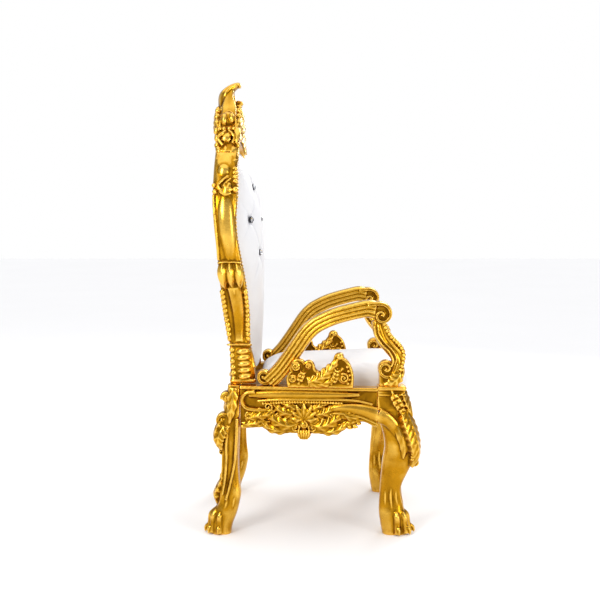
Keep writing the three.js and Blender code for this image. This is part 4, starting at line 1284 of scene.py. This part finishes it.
def backPad():
    z = mix(padSize["low"], padSize["high"], 1 - (1 - np.linspace(0, 1, 170)) ** 1.15)
    s = np.sin(np.linspace(-1, 1, 121) * math.pi / 2)
    rings = []
    for level in z:
        half = float(padHalf(level))
        y = s * half * 0.999
        x = padFace(y, level) - tufting(y, level) * (1 - np.abs(s) ** 6)
        ends = 1 - ramp(padSize["low"] + 15, padSize["low"], level)
        x = mix(backX(level) + 4, x, float(ends) ** 0.5)
        rear = backX(level) - 10
        rings.append(np.vstack([np.stack([x, s * half, 0 * s + level], 1),
                                [[rear, half, level], [rear, 0, level], [rear, -half, level]]]))
    return loft(rings)


def covered(name, shape, node, relief=(12, 0.004)):
    verts, faces = merged(shape)
    made = makeObject(name, smoothed(outwardMesh(name, inFrame(verts), faces)), leather)
    markRelief(made.data, *relief)
    seat(made, node)
    return made


pad = covered("back_pad_tufted", backPad(), "back_pad", (40, 0.012))


def backPanel():
    rings = []
    for z in np.linspace(padSize["low"] + 4, padSize["high"] - 2, 90):
        half = float(padHalf(z))
        s = np.sin(np.linspace(-1, 1, 41) * math.pi / 2)
        rise = math.pi * (z - padSize["low"]) / (padSize["high"] - padSize["low"])
        swell = 9 * (1 - s**2) ** 0.5 * math.sin(rise) ** 0.4
        back = np.stack([backX(z) - 17 - swell, s * half, 0 * s + z], 1)
        rings.append(np.vstack([back, [[backX(z) - 13, half, z], [backX(z) - 13, -half, z]]]))
    return loft(rings)


panel = covered("back_panel_covered", backPanel(), "back_panel")


# rows are [height, how far the side is drawn in].
cushionSize = {
    "rear": -168, "front": 448, "deck": 570, "rearHalf": 238, "frontHalf": 284, "drawn": 3, "squash": 0.97,
    "rows": [[0.5, 22], [6, 10], [11, 5], [22, 1], [33, 0], [46, 1], [57, 4], [68, 9], [77, 16], [85, 27], [93, 42],
             [98, 70], [101, 110], [103, 150], [104, 190]]}
coverSize = {
    "quality": 5, "mass": 0.4, "tension_stiffness": 18, "compression_stiffness": 18, "bending_stiffness": 2.5,
    "use_pressure": True, "uniform_pressure_force": 4.0}


def seatCushion():
    size = cushionSize
    angle = around(160)
    rows = np.array(size["rows"], float)
    rings = []

    def corner(v):
        return np.sign(v) * np.abs(v) ** 0.3

    for share in np.linspace(0, 1, 40):
        key = share * (len(rows) - 1)
        i = min(int(key), len(rows) - 2)
        height, inset = rows[i] + (rows[i + 1] - rows[i]) * (key - i)
        inset = inset + size["drawn"]
        x = mix(size["rear"] + inset, size["front"] - inset, 0.5 + 0.5 * corner(np.cos(angle)))
        along = (x - size["rear"]) / (size["front"] - size["rear"])
        y = (mix(size["rearHalf"], size["frontHalf"], along) - inset) * corner(np.sin(angle))
        lift = mix(-9, 9, along) * float(ramp(46, 102, height))
        rings.append(np.stack([x, y, size["deck"] + height * size["squash"] + lift], 1))
    return loft(rings)


# Blows the cover up a little over its filling, as leather pulled over foam. No point moves past the cap.
def inflated(made, voxel, cap):
    modify(made, "REMESH", mode="VOXEL", voxel_size=voxel)
    mesh = evaluatedMesh(made)
    start = places(mesh)
    floor = start[:, 2].min()
    pins = made.vertex_groups.new(name="held")
    pins.add(np.flatnonzero(start[:, 2] < floor + 0.012).tolist(), 1.0, "REPLACE")
    cloth = modify(made, "CLOTH")
    for label, value in coverSize.items():
        setattr(cloth.settings, label, value)
    cloth.settings.effector_weights.gravity = 0
    cloth.settings.vertex_group_mass = "held"
    cloth.point_cache.frame_start = 1
    cloth.point_cache.frame_end = 20
    for step in range(1, 21):
        bpy.context.scene.frame_set(step)
    mesh = evaluatedMesh(made)
    bpy.context.scene.frame_set(1)
    move = places(mesh) - start
    far = np.linalg.norm(move, axis=1)[:, None]
    held = start + move * np.minimum(1, cap / np.maximum(far, 1e-9))
    held[:, 2] = np.maximum(held[:, 2], floor)
    mesh.vertices.foreach_set("co", held.reshape(-1))
    made.vertex_groups.clear()
    modify(made, "SMOOTH", factor=0.5, iterations=6)
    modify(made, "SUBSURF", levels=1)
    return smoothed(evaluatedMesh(made))


cushion = covered("seat_cushion_covered", seatCushion(), "seat_cushion")
cushionMesh = inflated(cushion, 0.0085, 0.006)
markRelief(cushionMesh, 20, 0.012)
print("cushion filled", len(cushionMesh.polygons), "faces")


def weltPiece(name, inset, forward, radius):
    seam = inFrame(curveThrough(padSeam(inset, forward), 400))
    mesh = grown(weltAlongSeam, seam, {"Radius": radius, "Step": 0.004, "Material": leather}, True)
    made = makeObject(name, mesh, leather)
    markRelief(mesh, 2, 0.01)
    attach(made, "root")


def padSeam(inset, forward):
    z = np.linspace(padSize["low"] + 6, padSize["high"] - 5, 60)
    right = np.stack([backX(z) + forward, -(padHalf(z) - inset), z], 1)
    return np.vstack([right, (right * vec(1, -1, 1))[::-1]])


weltPiece("back_pad_welt", 5, 17, 0.0035)
weltPiece("back_panel_welt", 7, -20, 0.003)


# A cut stone in a shallow dark cup, facing the way the pad faces. cup is the profile of [radius, height].
gemSize = {
    "stone": {"Radius": 0.0118, "Facets": 8, "Crown": 0.007, "Pavilion": 0.006}, "lift": 11.0, "cupShare": 0.87,
    "cup": [[0.004, -0.0098], [0.012, -0.0088], [0.0152, -0.001], [0.0155, 0.0006], [0.0142, 0.0004],
            [0.0138, -0.0012], [0.0088, -0.0074]]}


def button(index, y, z):
    size = gemSize
    stone, faces = grownShape(cutStone, [[0, 0, 0]], {**size["stone"], "Material": crystal})
    angle = around(24, 0)
    cup = loft([np.stack([size["cupShare"] * r * np.cos(angle), size["cupShare"] * r * np.sin(angle), 0 * angle + h], 1)
                for r, h in size["cup"]])
    verts, loops = merged((stone, faces), cup)

    def lean(dy, dz):
        return 0.8 * (float(padFace(y + dy, z + dz)) - float(padFace(y - dy, z - dz))) / 24

    out = unit(vec(1, -lean(12, 0), -lean(0, 12)))
    up = unit(np.cross(out, vec(0, 1, 0)))
    across = np.cross(up, out)
    centre = inFrame(vec(float(padFace(y, z)) - padSize["buttonSink"] - 5 + size["lift"], y, z))
    placed = centre + verts[:, :1] * across + verts[:, 1:2] * up + verts[:, 2:] * out
    name = "tuft_button_%d" % index
    made = makeObject(name + "_cut", outwardMesh(name, placed, loops), crystal, foil)
    for polygon in made.data.polygons:
        polygon.material_index = 0 if polygon.index < len(faces) else 1
    seat(made, name)


for index, (y, z) in enumerate(buttonPlaces, 1):
    button(index, y, z)

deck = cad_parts["seat_deck"]
deck.data.materials.clear()
deck.data.materials.append(timber)
print("upholstery made")


# stage

# Lamps are [name, place, sides, power].
lightSize = {
    "lamps": [["key", (-2.2, -3.4, 2.6), (1.2, 2.0), 70], ["fill", (3.0, -3.2, 1.4), (0.9, 2.2), 42],
              ["rim", (1.5, 3.2, 2.8), (1.6, 1.6), 60]],
    "aim": 0.9, "sky": 2.2, "skyDegrees": 100}
viewSize = {"lens": 62.24, "sensor": 36, "distance": 4.3, "eye": 1319.9, "tiltDegrees": 5.497}


def floor():
    mesh = bpy.data.meshes.new("pale_floor")
    mesh.from_pydata([(-14, -9, 0), (14, -9, 0), (14, 19, 0), (-14, 19, 0)], [], [(0, 1, 2, 3)])
    material = bpy.data.materials.new("pale_floor")
    material.use_nodes = True
    tree = material.node_tree
    mottle = noise(tree, add(tree, "ShaderNodeTexCoord")["Object"], 0.8)
    fill(tree, tree.nodes["Principled BSDF"], {
        "Base Color": blendColor(tree, mottle, (0.93, 0.93, 0.93, 1), (0.9, 0.9, 0.9, 1)), "Roughness": 0.8,
        "Specular IOR Level": 0.0})
    makeObject("pale_floor", mesh, material)


# White behind the throne, and a darker room above it for the gilding to reflect.
def studio():
    bpy.context.scene.view_settings.view_transform = "Standard"
    world = bpy.data.worlds.new("studio")
    bpy.context.scene.world = world
    world.use_nodes = True
    tree = world.node_tree
    where = add(tree, "ShaderNodeSeparateXYZ", {0: add(tree, "ShaderNodeTexCoord")["Generated"]})["Z"]
    rise = remap(tree, where, -0.1, 0.75, 0, 1)
    room = blendColor(tree, rise, (0.78, 0.78, 0.78, 1), (0.26, 0.26, 0.28, 1))
    seen = add(tree, "ShaderNodeLightPath")["Is Camera Ray"]
    fill(tree, tree.nodes["Background"], {
        "Color": blendColor(tree, seen, room, (1.0, 1.0, 1.0, 1)), "Strength": 1.0})


def lights():
    size = lightSize
    sun = bpy.data.lights.new("sky", "SUN")
    sun.energy, sun.angle = size["sky"], math.radians(size["skyDegrees"])
    linked("sky", sun)
    for name, place, sides, power in size["lamps"]:
        lamp = bpy.data.lights.new(name, "AREA")
        lamp.shape = "RECTANGLE"
        lamp.size, lamp.size_y = sides
        lamp.energy = power
        holder = linked(name, lamp)
        away = vec(*place) - vec(0, 0, size["aim"])
        flat = math.hypot(away[0], away[1])
        holder.location = place
        holder.rotation_euler = (math.atan2(flat, away[2]), 0, math.atan2(away[1], away[0]) + math.pi / 2)


def camera():
    size = viewSize
    lens = bpy.data.cameras.new("view")
    lens.lens, lens.sensor_width, lens.clip_end = size["lens"], size["sensor"], 60
    eye = linked("view", lens)
    eye.location = (datum[0] / 1000, -size["distance"], (size["eye"] + datum[2]) / 1000)
    eye.rotation_euler = (math.radians(90 - size["tiltDegrees"]), 0, 0)
    bpy.context.scene.camera = eye


floor()
studio()
lights()
camera()
print("throne ready")
